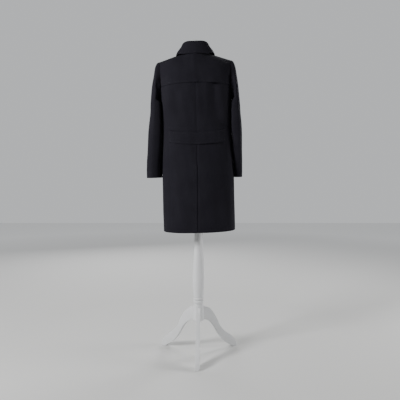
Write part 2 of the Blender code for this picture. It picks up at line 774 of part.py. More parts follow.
def resample_loop(points: list[Vector], count: int) -> list[Vector]:
    """Return evenly spaced points around a closed loop, starting at its first point."""
    lengths = [0.0]
    for index in range(len(points)):
        step = (points[(index + 1) % len(points)] - points[index]).length
        lengths.append(lengths[-1] + step)
    result = []
    for place in range(count):
        target = lengths[-1] * place / count
        index = max(i for i in range(len(points)) if lengths[i] <= target + 1e-9)
        share = (target - lengths[index]) / (lengths[index + 1] - lengths[index])
        result.append(points[index].lerp(points[(index + 1) % len(points)], share))
    return result


def sleeve_grid(side: int, loop: list[Vector]) -> Grid:
    """Return a whole sleeve's outer points, ring by ring from the armhole to the cuff."""
    rings = []
    for share in SLEEVE_SHARES:
        if share == 0.0:
            rings.append([point.copy() for point in loop])
            continue
        ring = read_row(SLEEVE, share)
        outer_x, inner_x = ((ring.outer_left, ring.inner_left) if side > 0
                            else (ring.outer_right, ring.inner_right))
        drop = RIGHT_SLEEVE_DROP * share if side < 0 else 0.0
        outer = Vector((side * outer_x, 0.0, ring.outer_height - drop))
        inner = Vector((side * inner_x, 0.0, ring.inner_height - drop))
        middle = (outer + inner) / 2 + Vector((0.0, (ring.back + ring.front) / 2, 0.0))
        half_depth = (ring.back - ring.front) / 2
        points = []
        for column in range(SLEEVE_COLUMNS):
            angle = 2 * math.pi * column / SLEEVE_COLUMNS
            power = 2.0 / SLEEVE_SQUARENESS
            along = math.copysign(abs(math.cos(angle)) ** power, math.cos(angle))
            depth = math.copysign(abs(math.sin(angle)) ** power, math.sin(angle))
            points.append(middle + (outer - inner) / 2 * along + Vector((0.0, half_depth * depth, 0.0)))
        rings.append(points)
    return rings


def make_sleeves(grids: dict[str, Grid]) -> None:
    """Make each sleeve's two pieces: the under sleeve faces the body, the top sleeve the rest."""
    for label, side in (("left", 1), ("right", -1)):
        clear = Vector((side * SLEEVE_GAP, 0.0, 0.0))
        loop = [point + clear for point in armhole_loop(grids, label)]
        outer = sleeve_grid(side, resample_loop(loop, SLEEVE_COLUMNS))
        lines = grid_normals(outer, side < 0, closed=True)
        inner = moved(outer, lines, -CLOTH)
        start, end = UNDER_SLEEVE
        columns = {
            f"under_sleeve_{label}": list(range(start, end + 1)),
            f"top_sleeve_{label}": list(range(end, SLEEVE_COLUMNS)) + list(range(0, start + 1)),
        }
        for name, picked in columns.items():
            cut = [pull_back([[row[column] for column in picked] for row in grid],
                             "first_column last_column") for grid in (outer, inner)]
            add_wall(name, *cut)


def collar_places() -> list[tuple[float, Vector]]:
    """Return the collar's places and its seam's points: at the panels' columns and halfway between."""
    end_share = COLLAR_END_ANGLE / (math.pi / 2)
    places = [column_neck_place(x, True) for x in BACK_NECK_COLUMNS] + [SIDE_NECK_PLACE]
    places += [column_neck_place(x, False) for x in FRONT_NECK_COLUMNS[:1:-1]]
    places.append(1.0 - end_share * (1.0 - SIDE_NECK_PLACE))
    result = [(places[0], neckline(places[0]))]
    for before, after in zip(places, places[1:]):
        result.append(((before + after) / 2, neckline(before).lerp(neckline(after), 0.5)))
        result.append((after, neckline(after)))
    return result


def collar_profiles(place: float, seam_point: Vector, shift: float) -> tuple[list[Vector], list[Vector]]:
    """Return the stand's and the fall's outer points at one place of a half collar, set out to the left."""
    station = read_row(COLLAR, place)
    base = seam_point + Vector((0.0, 0.0, COLLAR_SEAM_GAP))
    outward = Vector((base.x, base.y - NECK_SIDE, 0.0)).normalized()
    fold = base + outward * station.fold_out
    fold.z = station.fold_height
    fold.x += shift
    stand = [base, base.lerp(fold, 0.5) + outward * 0.0005, fold]
    rise = Vector((0.0, 0.0, 1.0))
    edge = Vector((station.edge_x + shift, station.edge_y, station.edge_height))
    fall = [fold + outward * out + rise * up
            for out, up in ((-0.0012, 0.0026), (0.0020, 0.0055), (0.0062, 0.0036))]
    start = fold + outward * 0.0085 - rise * 0.003
    control = (start + edge) / 2 + (outward + rise * 0.6).normalized() * station.bulge * 2
    for share in (0.0, 0.33, 0.67, 1.0):
        fall.append(start * (1 - share) ** 2 + control * 2 * share * (1 - share) + edge * share ** 2)
    return stand, fall


def make_collar() -> None:
    """Make the collar's stand and its fall, each from one centre front edge round to the other."""
    halves = [[collar_profiles(place, seam_point, side * COLLAR_SHIFT * (1.0 - place))
               for place, seam_point in collar_places()] for side in (1, -1)]
    for index, name in enumerate(("collar_stand", "collar_fall")):
        left, right = [[profile[index] for profile in half] for half in halves]
        mirrored = [[Vector((-point.x, point.y, point.z)) for point in column] for column in right[1:]]
        columns = left[::-1] + mirrored
        grid = [[column[row] for column in columns] for row in range(len(columns[0]))]
        lines = grid_normals(grid, False)
        add_wall(name, grid, moved(grid, lines, -CLOTH))


def make_buttons(grids: dict[str, Grid], normals: dict[str, Grid]) -> None:
    """Make the front's buttons, lying on the right front at the centre line."""
    lifted = lapped_over(grids["front_right"], normals["front_right"])
    for number, height in enumerate(BUTTON_HEIGHTS, start=1):
        row = max(index for index, line in enumerate(lifted) if line[1].z <= height)
        low, high = lifted[row], lifted[row + 1]
        share = (height - low[1].z) / (high[1].z - low[1].z)
        column = min(range(len(low)), key=lambda index: abs(low[index].x))
        before, after = (low[column].lerp(high[column], share) for column in (column, column + 1))
        middle = before if abs(before.x) < 1e-4 else before.lerp(
            after, abs(before.x) / (abs(before.x) + abs(after.x)))
        slope = (high[column] - low[column]).normalized()
        facing = Vector((0.0, -slope.z, slope.y)).normalized()
        bpy.ops.mesh.primitive_cylinder_add(vertices=20, radius=BUTTON_RADIUS, depth=BUTTON_THICKNESS)
        button = bpy.context.object
        button.name = f"button_{number}"
        button.data.name = button.name
        turn = Vector((0.0, 0.0, 1.0)).rotation_difference(facing)
        place = middle + facing * (BUTTON_THICKNESS / 2 + BUTTON_GAP)
        button.data.transform(Matrix.Translation(place) @ turn.to_matrix().to_4x4())
        button.data.materials.append(make_material("horn_button"))
        for owner in list(button.users_collection):
            owner.objects.unlink(button)
        COLLECTION.objects.link(button)
        edge = button.modifiers.new("Rounded edge", "BEVEL")
        edge.width = 0.0010
        edge.segments = 1
        edge.limit_method = "ANGLE"


def form_upper_rings(grids: dict[str, Grid], normals: dict[str, Grid]) -> list[list[Vector]]:
    """Return the form's rings from the yoke line to the shoulders, just inside the coat's cloth."""
    rings = []
    first = len(ROW_HEIGHTS) - 1
    for step, rise in enumerate((0.0, *UPPER_RISES)):
        inset = CLOTH + FORM_GAP + FORM_YOKE_CLEARANCE * (1.0 - rise) ** 1.5
        half = []
        for name, skipped in (("back_left", 0), ("front_left", FRONT_NECK_COLUMNS.index(0.0))):
            row = grids[name][first + step][skipped:]
            line = normals[name][first + step][skipped:]
            points = []
            for point, normal in zip(row, line):
                near_neck = smooth_step((NECK_HALF_WIDTH - point.x) / 0.03)
                inner = point - normal * (inset + FORM_NECK_CLEARANCE * near_neck)
                inner.x -= FORM_TIP_INSET * smooth_step((point.x - 0.12) / 0.067)
                points.append(inner)
            points[0].x = 0.0
            half.append(points)
        back, front = half
        side_points = [back[-1].lerp(front[-1], share) for share in (0.25, 0.5, 0.75)]
        for point, bulge in zip(side_points, (0.75, 1.0, 0.75)):
            point.x += 0.010 * bulge * (1.0 - rise)
        left = back + side_points + front[::-1]
        right = [Vector((-point.x, point.y, point.z)) for point in left[1:-1]]
        rings.append(left + right[::-1])
    return rings


def make_dress_form(grids: dict[str, Grid], normals: dict[str, Grid]) -> None:
    """Make the limbless form as one closed solid: torso sections, shoulders under the coat, and a neck."""
    upper = form_upper_rings(grids, normals)
    count = len(upper[0])
    lower = []
    for section in FORM:
        ring = []
        for point in upper[0]:
            angle = math.atan2(point.y, point.x)
            depth = section.back if point.y > 0 else section.front
            reach = (abs(math.cos(angle) / section.half_width) ** section.squareness
                     + abs(math.sin(angle) / depth) ** section.squareness) ** (-1 / section.squareness)
            ring.append(Vector((reach * math.cos(angle), reach * math.sin(angle), section.height)))
        lower.append(ring)
    shape = bmesh.new()

    def corner(point: Vector) -> bmesh.types.BMVert:
        for vert in shape.verts:
            if (vert.co - point).length < 1e-5:
                return vert
        return shape.verts.new(point)

    rings = [[corner(point) for point in ring] for ring in lower + upper]
    for low, high in zip(rings, rings[1:]):
        for index in range(count):
            after = (index + 1) % count
            loop = list(dict.fromkeys((low[index], low[after], high[after], high[index])))
            if len(loop) == 4:
                split_face(shape, tuple(loop), abs(low[index].co.x) <= abs(low[after].co.x))
            elif len(loop) == 3:
                shape.faces.new(loop)
    neck_ring = []
    for vert in rings[-1]:
        if vert not in neck_ring and abs(vert.co.x) < NECK_HALF_WIDTH + 0.001:
            neck_ring.append(vert)
    for radius, height in ((NECK_RADIUS + 0.002, 1.635), (NECK_RADIUS, 1.650), (NECK_RADIUS, NECK_TOP)):
        ring = []
        for vert in neck_ring:
            angle = math.atan2(vert.co.y - NECK_CENTRE_Y, vert.co.x)
            ring.append(shape.verts.new((radius * math.cos(angle),
                                         NECK_CENTRE_Y + radius * math.sin(angle), height)))
        bridge(shape, neck_ring, ring)
        neck_ring = ring
    shape.faces.new(neck_ring)
    shape.faces.new(rings[0])
    finish_mesh("dress_form", shape, "form_cover")


def bridge(shape: bmesh.types.BMesh, low: list, high: list) -> None:
    """Join two rings of the same count with quads."""
    for index in range(len(low)):
        after = (index + 1) % len(low)
        shape.faces.new((low[index], low[after], high[after], high[index]))


def make_turned(name: str, profile: list[tuple[float, float]], material: str) -> bpy.types.Object:
    """Make a turned piece from heights and radii, top to bottom, with a Screw modifier about Z."""
    points = [(0.0, profile[0][0])] + [(radius, height) for height, radius in profile]
    points.append((0.0, profile[-1][0]))
    mesh = bpy.data.meshes.new(name)
    mesh.from_pydata([(radius, 0.0, height) for radius, height in points],
                     [(index, index + 1) for index in range(len(points) - 1)], [])
    item = add_object(name, mesh, material)
    turning = item.modifiers.new("Turning", "SCREW")
    turning.axis = "Z"
    turning.steps = SCREW_STEPS
    turning.render_steps = SCREW_STEPS
    turning.use_merge_vertices = True
    turning.merge_threshold = 0.0001
    return item


def bead_profile(middle: float, half_height: float) -> list[tuple[float, float]]:
    """Return the heights and radii of one ring bead, from its top to its bottom."""
    points = []
    for step in range(5):
        angle = math.pi * step / 4
        radius = GROOVE_RADIUS + (BEAD_RADIUS - GROOVE_RADIUS) * math.sin(angle)
        points.append((middle + half_height * math.cos(angle), radius))
    return points


def make_stand() -> None:
    """Make the turned pole, the hub with its two beads, and the three legs."""
    make_turned("pole", list(POLE_PROFILE), "white_paint")
    hub = [(HUB_TOP, GROOVE_RADIUS)]
    for middle, half_height in BEADS:
        hub += bead_profile(middle, half_height)
    hub += list(HUB_PROFILE)
    hub += [(HUB_BOTTOM + HUB_EDGE * 0.35, 0.0296), (HUB_BOTTOM, 0.0255)]
    make_turned("hub", hub, "white_paint")
    for name, angle in (("leg_back", 90.0), ("leg_front_left", -30.0), ("leg_front_right", 210.0)):
        make_leg(name, math.radians(angle) + TRIPOD_TURN)


def make_leg(name: str, angle: float) -> None:
    """Make one flat S-curved leg, standing out from the hub at an angle about Z."""
    root = 0.0302 + LEG_HUB_CLEARANCE
    top = [point for point in LEG_TOP if point[0] > root]
    underside = [point for point in LEG_UNDERSIDE if point[0] > root]
    outline = [(root, LEG_TOP[0][1] - 0.001)] + top + underside + [(root, LEG_UNDERSIDE[-1][1] - 0.002)]
    shape = bmesh.new()
    rings = []
    half = LEG_THICKNESS / 2
    for offset in (-half, half):
        rings.append([shape.verts.new((distance, offset, height)) for distance, height in outline])
    shape.faces.new(rings[0])
    shape.faces.new(rings[1][::-1])
    bridge(shape, rings[0], rings[1])
    bmesh.ops.transform(shape, matrix=Matrix.Rotation(angle, 4, "Z"), verts=shape.verts)
    leg = finish_mesh(name, shape, "white_paint")
    rounding = leg.modifiers.new("Rounded edge", "BEVEL")
    rounding.width = 0.0020
    rounding.segments = 2
    rounding.limit_method = "ANGLE"
    rounding.angle_limit = math.radians(60.0)


def make_neck_cap() -> None:
    """Make the domed cap that closes the form's neck."""
    low = NECK_TOP + SEAM_GAP
    shoulder = low + CAP_EDGE
    rise = CAP_TOP - shoulder
    profile = []
    for step in range(1, CAP_STEPS + 1):
        angle = math.pi / 2 * step / CAP_STEPS
        profile.append((shoulder + rise * math.cos(angle), CAP_RADIUS * math.sin(angle)))
    profile.append((low, CAP_RADIUS))
    cap = make_turned("neck_cap", profile, "white_paint")
    cap.location = (0.0, NECK_CENTRE_Y, 0.0)


def place_parts() -> None:
    """Stand everything on the pole's axis, and lean the coat and the form about the pole's top."""
    axis = bpy.data.objects.new("stand_axis", None)
    axis.location = (*POLE_AXIS, 0.0)
    COLLECTION.objects.link(axis)
    lean = bpy.data.objects.new("lean", None)
    lean.parent = axis
    lean.location = (0.0, 0.0, LEAN_PIVOT)
    lean.rotation_euler = (0.0, LEAN, 0.0)
    COLLECTION.objects.link(lean)
    upright = {"pole", "hub", "leg_back", "leg_front_left", "leg_front_right"}
    for item in COLLECTION.objects:
        if item.type != "MESH":
            continue
        if item.name in upright:
            item.parent = axis
        else:
            item.parent = lean
            item.location.z -= LEAN_PIVOT


clear_scene()
COLLECTION = bpy.data.collections.new("overcoat_on_dress_form")
bpy.context.scene.collection.children.link(COLLECTION)

coat, coat_normals = coat_grids()
make_backs(coat, coat_normals)
make_fronts(coat, coat_normals)
make_sides(coat, coat_normals)
make_yoke_flap(coat, coat_normals)
make_half_belt(coat, coat_normals)
make_pocket_welts()
make_sleeves(coat)
make_collar()
make_buttons(coat, coat_normals)
make_dress_form(coat, coat_normals)
make_neck_cap()
make_stand()
place_parts()
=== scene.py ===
"""The looks of an overcoat on a limbless dress form with a turned tripod, in metres, +Z up.

The coat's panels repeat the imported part's own sections in a finer grid, so each lies on its solid.
The coat faces -Y, the wearer's left is +X, and pieces are named after the wearer's left and right.
"""
import logging
import math
from dataclasses import dataclass, field
from enum import Enum

import bmesh
import bpy
import numpy as np
from mathutils import Matrix, Vector


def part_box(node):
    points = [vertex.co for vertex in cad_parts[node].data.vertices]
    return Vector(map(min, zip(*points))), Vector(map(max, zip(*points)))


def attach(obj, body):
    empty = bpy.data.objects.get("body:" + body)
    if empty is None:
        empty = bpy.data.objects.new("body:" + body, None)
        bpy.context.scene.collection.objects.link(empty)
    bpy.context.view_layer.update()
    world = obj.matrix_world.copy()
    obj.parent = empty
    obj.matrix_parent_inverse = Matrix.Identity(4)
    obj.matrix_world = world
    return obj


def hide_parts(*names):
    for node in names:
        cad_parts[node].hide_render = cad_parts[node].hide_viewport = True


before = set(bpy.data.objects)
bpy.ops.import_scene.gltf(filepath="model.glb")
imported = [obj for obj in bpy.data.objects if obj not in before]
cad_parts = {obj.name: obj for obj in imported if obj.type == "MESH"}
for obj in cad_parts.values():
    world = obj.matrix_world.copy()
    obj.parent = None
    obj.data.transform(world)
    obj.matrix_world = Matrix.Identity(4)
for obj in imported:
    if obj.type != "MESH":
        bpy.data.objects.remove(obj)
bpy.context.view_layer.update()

LOG = logging.getLogger("overcoat")

CLOTH = 0.0020
SEAM_GAP = 0.0002
LAYER_GAP = 0.00035
UNDERLAP_DEPTH = CLOTH + 0.00045
LEAN = math.radians(1.5)
LEAN_PIVOT = 0.900

HEM_HEIGHT = 0.685
VENT_HEIGHT = 1.029
BELT_BOTTOM = 1.1405
BELT_MIDDLE = 1.1715
BELT_TOP = 1.2025
BELT_HALF_WIDTH = 0.147
BELT_DROOP = 0.018
DROOP_REACH = 0.110
UNDERARM_HEIGHT = 1.386
YOKE_HEIGHT = 1.455
NECK_HALF_WIDTH = 0.072
NECK_COLUMN_X = 0.068
OVERLAP = 0.030
OVERLAP_FADE = 0.049
SIDE_NECK_PLACE = 0.45
NECK_SIDE = 0.004
NECK_BEHIND = 0.058
NECK_BEFORE = -0.082
NECK_HEIGHT = 1.6155
SHOULDER_TIP = (0.187, 0.000, 1.578)

# Body sections: height, half width, depth behind, depth before, squareness
BODY = (
    (HEM_HEIGHT, 0.1920, 0.135, 0.137, 2.35),
    (0.800, 0.1925, 0.133, 0.137, 2.35),
    (0.960, 0.1915, 0.128, 0.136, 2.40),
    (1.060, 0.1875, 0.121, 0.133, 2.45),
    (BELT_MIDDLE, 0.1840, 0.113, 0.130, 2.50),
    (1.280, 0.1860, 0.116, 0.135, 2.60),
    (UNDERARM_HEIGHT, 0.1880, 0.122, 0.139, 2.80),
    (1.500, 0.1870, 0.122, 0.133, 3.00),
)
# Form sections: the same columns
FORM = (
    (0.900, 0.1640, 0.100, 0.104, 2.2),
    (0.960, 0.1680, 0.106, 0.108, 2.2),
    (1.050, 0.1620, 0.098, 0.104, 2.2),
    (1.170, 0.1300, 0.082, 0.092, 2.2),
    (1.280, 0.1450, 0.092, 0.112, 2.3),
    (1.386, 0.1620, 0.104, 0.123, 2.5),
)
# Side seams: height, distance from the middle behind and before
SEAMS = (
    (HEM_HEIGHT, 0.150, 0.150),
    (BELT_MIDDLE, 0.147, 0.147),
    (1.300, 0.153, 0.152),
    (1.400, 0.169, 0.167),
    (YOKE_HEIGHT, 0.179, 0.176),
)
# Sleeve rings: share, outer and inner height, outer left and right, inner left and right, back, front
SLEEVE = (
    (0.00, 1.578, 1.386, 0.1875, 0.1875, 0.1885, 0.1885, 0.062, -0.070),
    (0.04, 1.573, 1.381, 0.2010, 0.2000, 0.1902, 0.1902, 0.068, -0.074),
    (0.09, 1.552, 1.372, 0.2115, 0.2095, 0.1914, 0.1908, 0.073, -0.078),
    (0.16, 1.510, 1.357, 0.2195, 0.2165, 0.1912, 0.1905, 0.077, -0.081),
    (0.25, 1.455, 1.334, 0.2310, 0.2235, 0.1905, 0.1900, 0.080, -0.083),
    (0.35, 1.385, 1.295, 0.2400, 0.2295, 0.1890, 0.1888, 0.081, -0.083),
    (0.46, 1.305, 1.243, 0.2470, 0.2350, 0.1878, 0.1878, 0.078, -0.082),
    (0.60, 1.215, 1.182, 0.2590, 0.2395, 0.1868, 0.1866, 0.071, -0.081),
    (0.75, 1.115, 1.103, 0.2680, 0.2390, 0.1915, 0.1905, 0.060, -0.080),
    (0.88, 1.035, 1.033, 0.2755, 0.2395, 0.1975, 0.1930, 0.050, -0.078),
    (1.00, 0.972, 0.972, 0.2765, 0.2370, 0.2015, 0.1955, 0.043, -0.076),
)
# Soft folds: behind, x and height of the top, x and height of the foot, half width, depth
FOLDS = (
    (True, 0.108, 1.430, 0.100, 1.260, 0.040, 0.0025),
    (True, 0.152, 0.960, 0.112, 0.700, 0.035, 0.0045),
    (True, -0.098, 0.930, -0.110, 0.680, 0.035, 0.0030),
    (False, -0.115, 1.350, -0.095, 1.200, 0.040, 0.0035),
    (False, 0.110, 1.360, 0.100, 1.210, 0.040, 0.0040),
    (False, 0.098, 0.960, 0.116, 0.690, 0.035, 0.0040),
    (False, -0.110, 0.930, -0.100, 0.690, 0.035, 0.0035),
)
# The loose valley of the upper right back: height above the belt's sag, left edge, bottom, right edge, depth
VALLEY = (
    (1.200, -0.042, -0.140, -0.178, 0.0000),
    (1.222, -0.042, -0.138, -0.176, 0.0085),
    (1.248, -0.044, -0.126, -0.168, 0.0110),
    (1.279, -0.046, -0.108, -0.156, 0.0112),
    (1.340, -0.047, -0.097, -0.142, 0.0112),
    (1.400, -0.049, -0.094, -0.132, 0.0110),
    (1.455, -0.053, -0.094, -0.128, 0.0105),
    (1.500, -0.056, -0.092, -0.126, 0.0100),
    (1.540, -0.056, -0.092, -0.126, 0.0000),
)
# Collar stations: place, fold's step out and height, outer edge x, y and height, bulge
COLLAR = (
    (0.00, 0.004, 1.6655, 0.000, 0.0705, 1.6080, 0.003),
    (0.15, 0.004, 1.6672, 0.037, 0.0650, 1.6085, 0.003),
    (0.26, 0.001, 1.6628, 0.066, 0.0545, 1.6090, 0.004),
    (0.36, -0.002, 1.6515, 0.090, 0.0365, 1.6130, 0.005),
    (0.45, -0.002, 1.6425, 0.102, 0.0040, 1.6135, 0.005),
    (0.60, -0.004, 1.6270, 0.101, -0.0480, 1.6010, 0.009),
    (0.78, -0.003, 1.6020, 0.088, -0.0960, 1.5700, 0.013),
    (0.90, 0.000, 1.5880, 0.074, -0.1200, 1.5340, 0.014),
    (1.00, 0.001, 1.5820, 0.060, -0.1320, 1.4960, 0.013),
)


class Side(Enum):
    """The wearer's left or right."""
    LEFT = 1
    RIGHT = -1

    @property
    def word(self) -> str:
        """The side's name in a piece's name."""
        return self.name.lower()


def smooth_step(value: np.ndarray) -> np.ndarray:
    """Return 0 below 0, 1 above 1, and a smooth rise between."""
    value = np.clip(value, 0.0, 1.0)
    return value * value * (3.0 - 2.0 * value)


def fade(value: np.ndarray) -> np.ndarray:
    """Return 1 below 0, 0 above 1, and a smooth fall between."""
    return 1.0 - smooth_step(value)


def hump(value: np.ndarray, middle: float, width: float) -> np.ndarray:
    """Return a soft hump of height 1 about a middle."""
    return np.exp(-((value - middle) / width) ** 2)


def nearest(values: np.ndarray, wanted: float) -> int:
    """Return the number of the value that lies nearest to a wanted one."""
    return int(np.argmin(np.abs(values - wanted)))


def mirrored(points: np.ndarray, hand: Side) -> np.ndarray:
    """Return points that were set out on the wearer's left, on the side that is asked for."""
    return points * np.array((hand.value, 1.0, 1.0))


def running_length(path: np.ndarray) -> np.ndarray:
    """Return each point's distance along a path from its first one."""
    return np.concatenate(([0.0], np.cumsum(np.linalg.norm(np.diff(path, axis=0), axis=1))))


def read_path(places: np.ndarray, run: np.ndarray, path: np.ndarray) -> np.ndarray:
    """Return a path's points at places along it.

    Args:
        places: where to read it.
        run: the place of each of its points, rising.
        path: its points.
    Returns:
        The points at the places.
    """
    return np.stack([np.interp(places, run, path[:, axis]) for axis in range(3)], axis=-1)


def ring_faces(start: int, rings: int, count: int) -> list:
    """Return the faces between closed rings of points that follow each other.

    Args:
        start: the first ring's first point.
        rings: how many rings there are.
        count: the points in each.
    Returns:
        The faces.
    """
    faces = []
    for low in range(start, start + (rings - 1) * count, count):
        for turn in range(count):
            after = (turn + 1) % count
            faces.append((low + turn, low + after, low + count + after, low + count + turn))
    return faces


def circles(middle: np.ndarray, across: np.ndarray, up: np.ndarray, radius: float, sides: int) -> np.ndarray:
    """Return a circle of points about each of some middles.

    Args:
        middle: the circles' middles.
        across: the direction of each circle's first point.
        up: the direction of the point a quarter turn on.
        radius: their radius.
        sides: the points in each.
    Returns:
        One row of points for each middle.
    """
    turns = 2 * math.pi * np.arange(sides) / sides
    return (middle[:, None] + across[:, None] * (np.cos(turns) * radius)[None, :, None]
            + up[:, None] * (np.sin(turns) * radius)[None, :, None])


def new_mesh(name: str, points: list, faces: list) -> bpy.types.Mesh:
    """Return a new mesh of points and faces."""
    mesh = bpy.data.meshes.new(name)
    mesh.from_pydata([tuple(point) for point in points], [], faces)
    return mesh


def placed(name: str, data: bpy.types.ID) -> bpy.types.Object:
    """Return a new object in the scene."""
    item = bpy.data.objects.new(name, data)
    bpy.context.scene.collection.objects.link(item)
    return item


def read_table(rows: tuple, places: np.ndarray) -> np.ndarray:
    """Return a table's columns at places along its first column, on smooth curves through its rows.

    Args:
        rows: the table, with its places in the first column.
        places: where to read it.
    Returns:
        The other columns' values, in a last axis.
    """
    table = np.array(rows, float)
    start = table[:, 0]
    place = np.clip(np.asarray(places, float), start[0], start[-1])
    index = np.clip(np.searchsorted(start, place, side="right") - 1, 0, len(start) - 2)
    order = np.arange(len(start))
    before = np.maximum(order - 1, 0)
    after = np.minimum(order + 1, len(start) - 1)
    slope = (table[after, 1:] - table[before, 1:]) / (start[after] - start[before])[:, None]
    span = (start[index + 1] - start[index])[..., None]
    share = (place - start[index])[..., None] / span
    low = table[index, 1:]
    change = table[index + 1, 1:] - low
    first = slope[index] * span
    last = slope[index + 1] * span
    return low + share * (first + share * (3 * change - 2 * first - last + share * (first + last - 2 * change)))


def superellipse(reach: np.ndarray, across: np.ndarray, other: np.ndarray, power: np.ndarray) -> np.ndarray:
    """Return how far a level section reaches at a distance across it.

    Args:
        reach: its reach in the wanted direction.
        across: the distance from its middle in the other direction.
        other: its reach in the other direction.
        power: its squareness.
    Returns:
        The reach at that distance.
    """
    share = np.minimum(np.abs(across) / other, 1.0)
    return reach * (1.0 - share ** power) ** (1.0 / power)


def unit(vectors: np.ndarray) -> np.ndarray:
    """Return vectors scaled to length one."""
    return vectors / np.maximum(np.linalg.norm(vectors, axis=-1, keepdims=True), 1e-12)


def grid_normals(grid: np.ndarray, flip: bool, closed: bool = False) -> np.ndarray:
    """Return the outward normal at each point of a grid.

    Args:
        grid: rows of points.
        flip: whether to turn the normals round.
        closed: whether each row is a closed ring.
    Returns:
        One unit normal for each point.
    """
    up = np.gradient(grid, axis=0)
    if closed:
        along = (np.roll(grid, -1, axis=1) - np.roll(grid, 1, axis=1)) / 2
    else:
        along = np.gradient(grid, axis=1)
    normal = unit(np.cross(up, along))
    return -normal if flip else normal


def arc_lengths(grid: np.ndarray, axis: int) -> np.ndarray:
    """Return each point's distance along its row or column from the first one.

    Args:
        grid: rows of points.
        axis: 0 along the columns, 1 along the rows.
    Returns:
        The running lengths.
    """
    steps = np.linalg.norm(np.diff(grid, axis=axis), axis=-1)
    pad = [(0, 0), (0, 0)]
    pad[axis] = (1, 0)
    return np.pad(np.cumsum(steps, axis=axis), pad)


def relaxed(grid: np.ndarray, rounds: int, weight: np.ndarray) -> np.ndarray:
    """Return a grid with its inner points eased toward their neighbours' mean.

    Args:
        grid: rows of points.
        rounds: how many times to ease it.
        weight: how much each point may move, from 0 to 1.
    Returns:
        The eased grid, with its edges as they were.
    """
    result = grid.copy()
    for _ in range(rounds):
        mean = (result[:-2, 1:-1] + result[2:, 1:-1] + result[1:-1, :-2] + result[1:-1, 2:]) / 4
        result[1:-1, 1:-1] += (mean - result[1:-1, 1:-1]) * 0.5 * weight[1:-1, 1:-1, None]
    return result


def spread(stops: list, counts: list) -> np.ndarray:
    """Return places that run through the stops, with a number of even steps in each span.

    Args:
        stops: the places that must be met.
        counts: the steps between each two.
    Returns:
        All the places.
    """
    parts = [np.linspace(a, b, n, endpoint=False) for a, b, n in zip(stops, stops[1:], counts)]
    return np.append(np.concatenate(parts), stops[-1])


def feed(tree: bpy.types.NodeTree, node: bpy.types.Node, inputs: dict) -> None:
    """Link or set a node's inputs.

    Args:
        tree: the node's tree.
        node: the node.
        inputs: a socket or a value for each input's name or number.
    """
    for key, value in inputs.items():
        if isinstance(value, bpy.types.NodeSocket):
            tree.links.new(value, node.inputs[key])
        else:
            node.inputs[key].default_value = value


def add_node(tree: bpy.types.NodeTree, kind: str, inputs: dict, **settings: object) -> bpy.types.Node:
    """Place a shader node in a tree.

    Args:
        tree: the tree.
        kind: the node's type, without the word ShaderNode.
        inputs: a socket or a value for each input's name or number.
        settings: the node's own settings.
    Returns:
        The node.
    """
    node = tree.nodes.new(f"ShaderNode{kind}")
    for name, value in settings.items():
        setattr(node, name, value)
    feed(tree, node, inputs)
    return node


def calculated(tree: bpy.types.NodeTree, operation: str, *values: object) -> bpy.types.NodeSocket:
    """Return what a Math node makes of sockets and numbers."""
    return add_node(tree, "Math", dict(enumerate(values)), operation=operation).outputs[0]


def patch_nodes(group: bpy.types.NodeTree, given: bpy.types.NodeOutputs) -> bpy.types.NodeSocket:
    """Draw soft uneven patches, and return their mask."""
    place = add_node(group, "TexCoord", {}).outputs["Object"]
    noise = add_node(group, "TexNoise", {"Vector": place, "Scale": given["Scale"], "Detail": 3.0})
    low = calculated(group, "MULTIPLY", given["Sharpness"], 0.5)
    high = calculated(group, "SUBTRACT", 1.0, low)
    return add_node(group, "MapRange", {"Value": noise.outputs["Fac"], "From Min": low, "From Max": high},
                    interpolation_type="SMOOTHSTEP").outputs["Result"]


def twill_nodes(group: bpy.types.NodeTree, given: bpy.types.NodeOutputs) -> bpy.types.NodeSocket:
    """Draw a fine diagonal twill along the cloth's own grain, and return its height."""
    place = add_node(group, "SeparateXYZ", {0: add_node(group, "TexCoord", {}).outputs["UV"]})
    total = calculated(group, "ADD", place.outputs["X"], place.outputs["Y"])
    turns = calculated(group, "DIVIDE", total, given["Pitch"])
    return calculated(group, "SINE", calculated(group, "MULTIPLY", turns, 2 * math.pi))


def brush_nodes(group: bpy.types.NodeTree, given: bpy.types.NodeOutputs) -> bpy.types.NodeSocket:
    """Draw faint upright brush marks, and return their height."""
    place = add_node(group, "TexCoord", {}).outputs["Object"]
    stretch = add_node(group, "Mapping", {"Vector": place, "Scale": (6.0, 6.0, 0.5)}).outputs["Vector"]
    return add_node(group, "TexNoise", {"Vector": stretch, "Scale": given["Scale"], "Detail": 2.0}).outputs["Fac"]


# Shader groups: name, inputs with their defaults, output, what draws it
GROUPS = {
    "soft_patches": ({"Scale": 10.0, "Sharpness": 0.5}, "Mask", patch_nodes),
    "twill_weave": ({"Pitch": 0.001}, "Height", twill_nodes),
    "brush_marks": ({"Scale": 60.0}, "Height", brush_nodes),
}


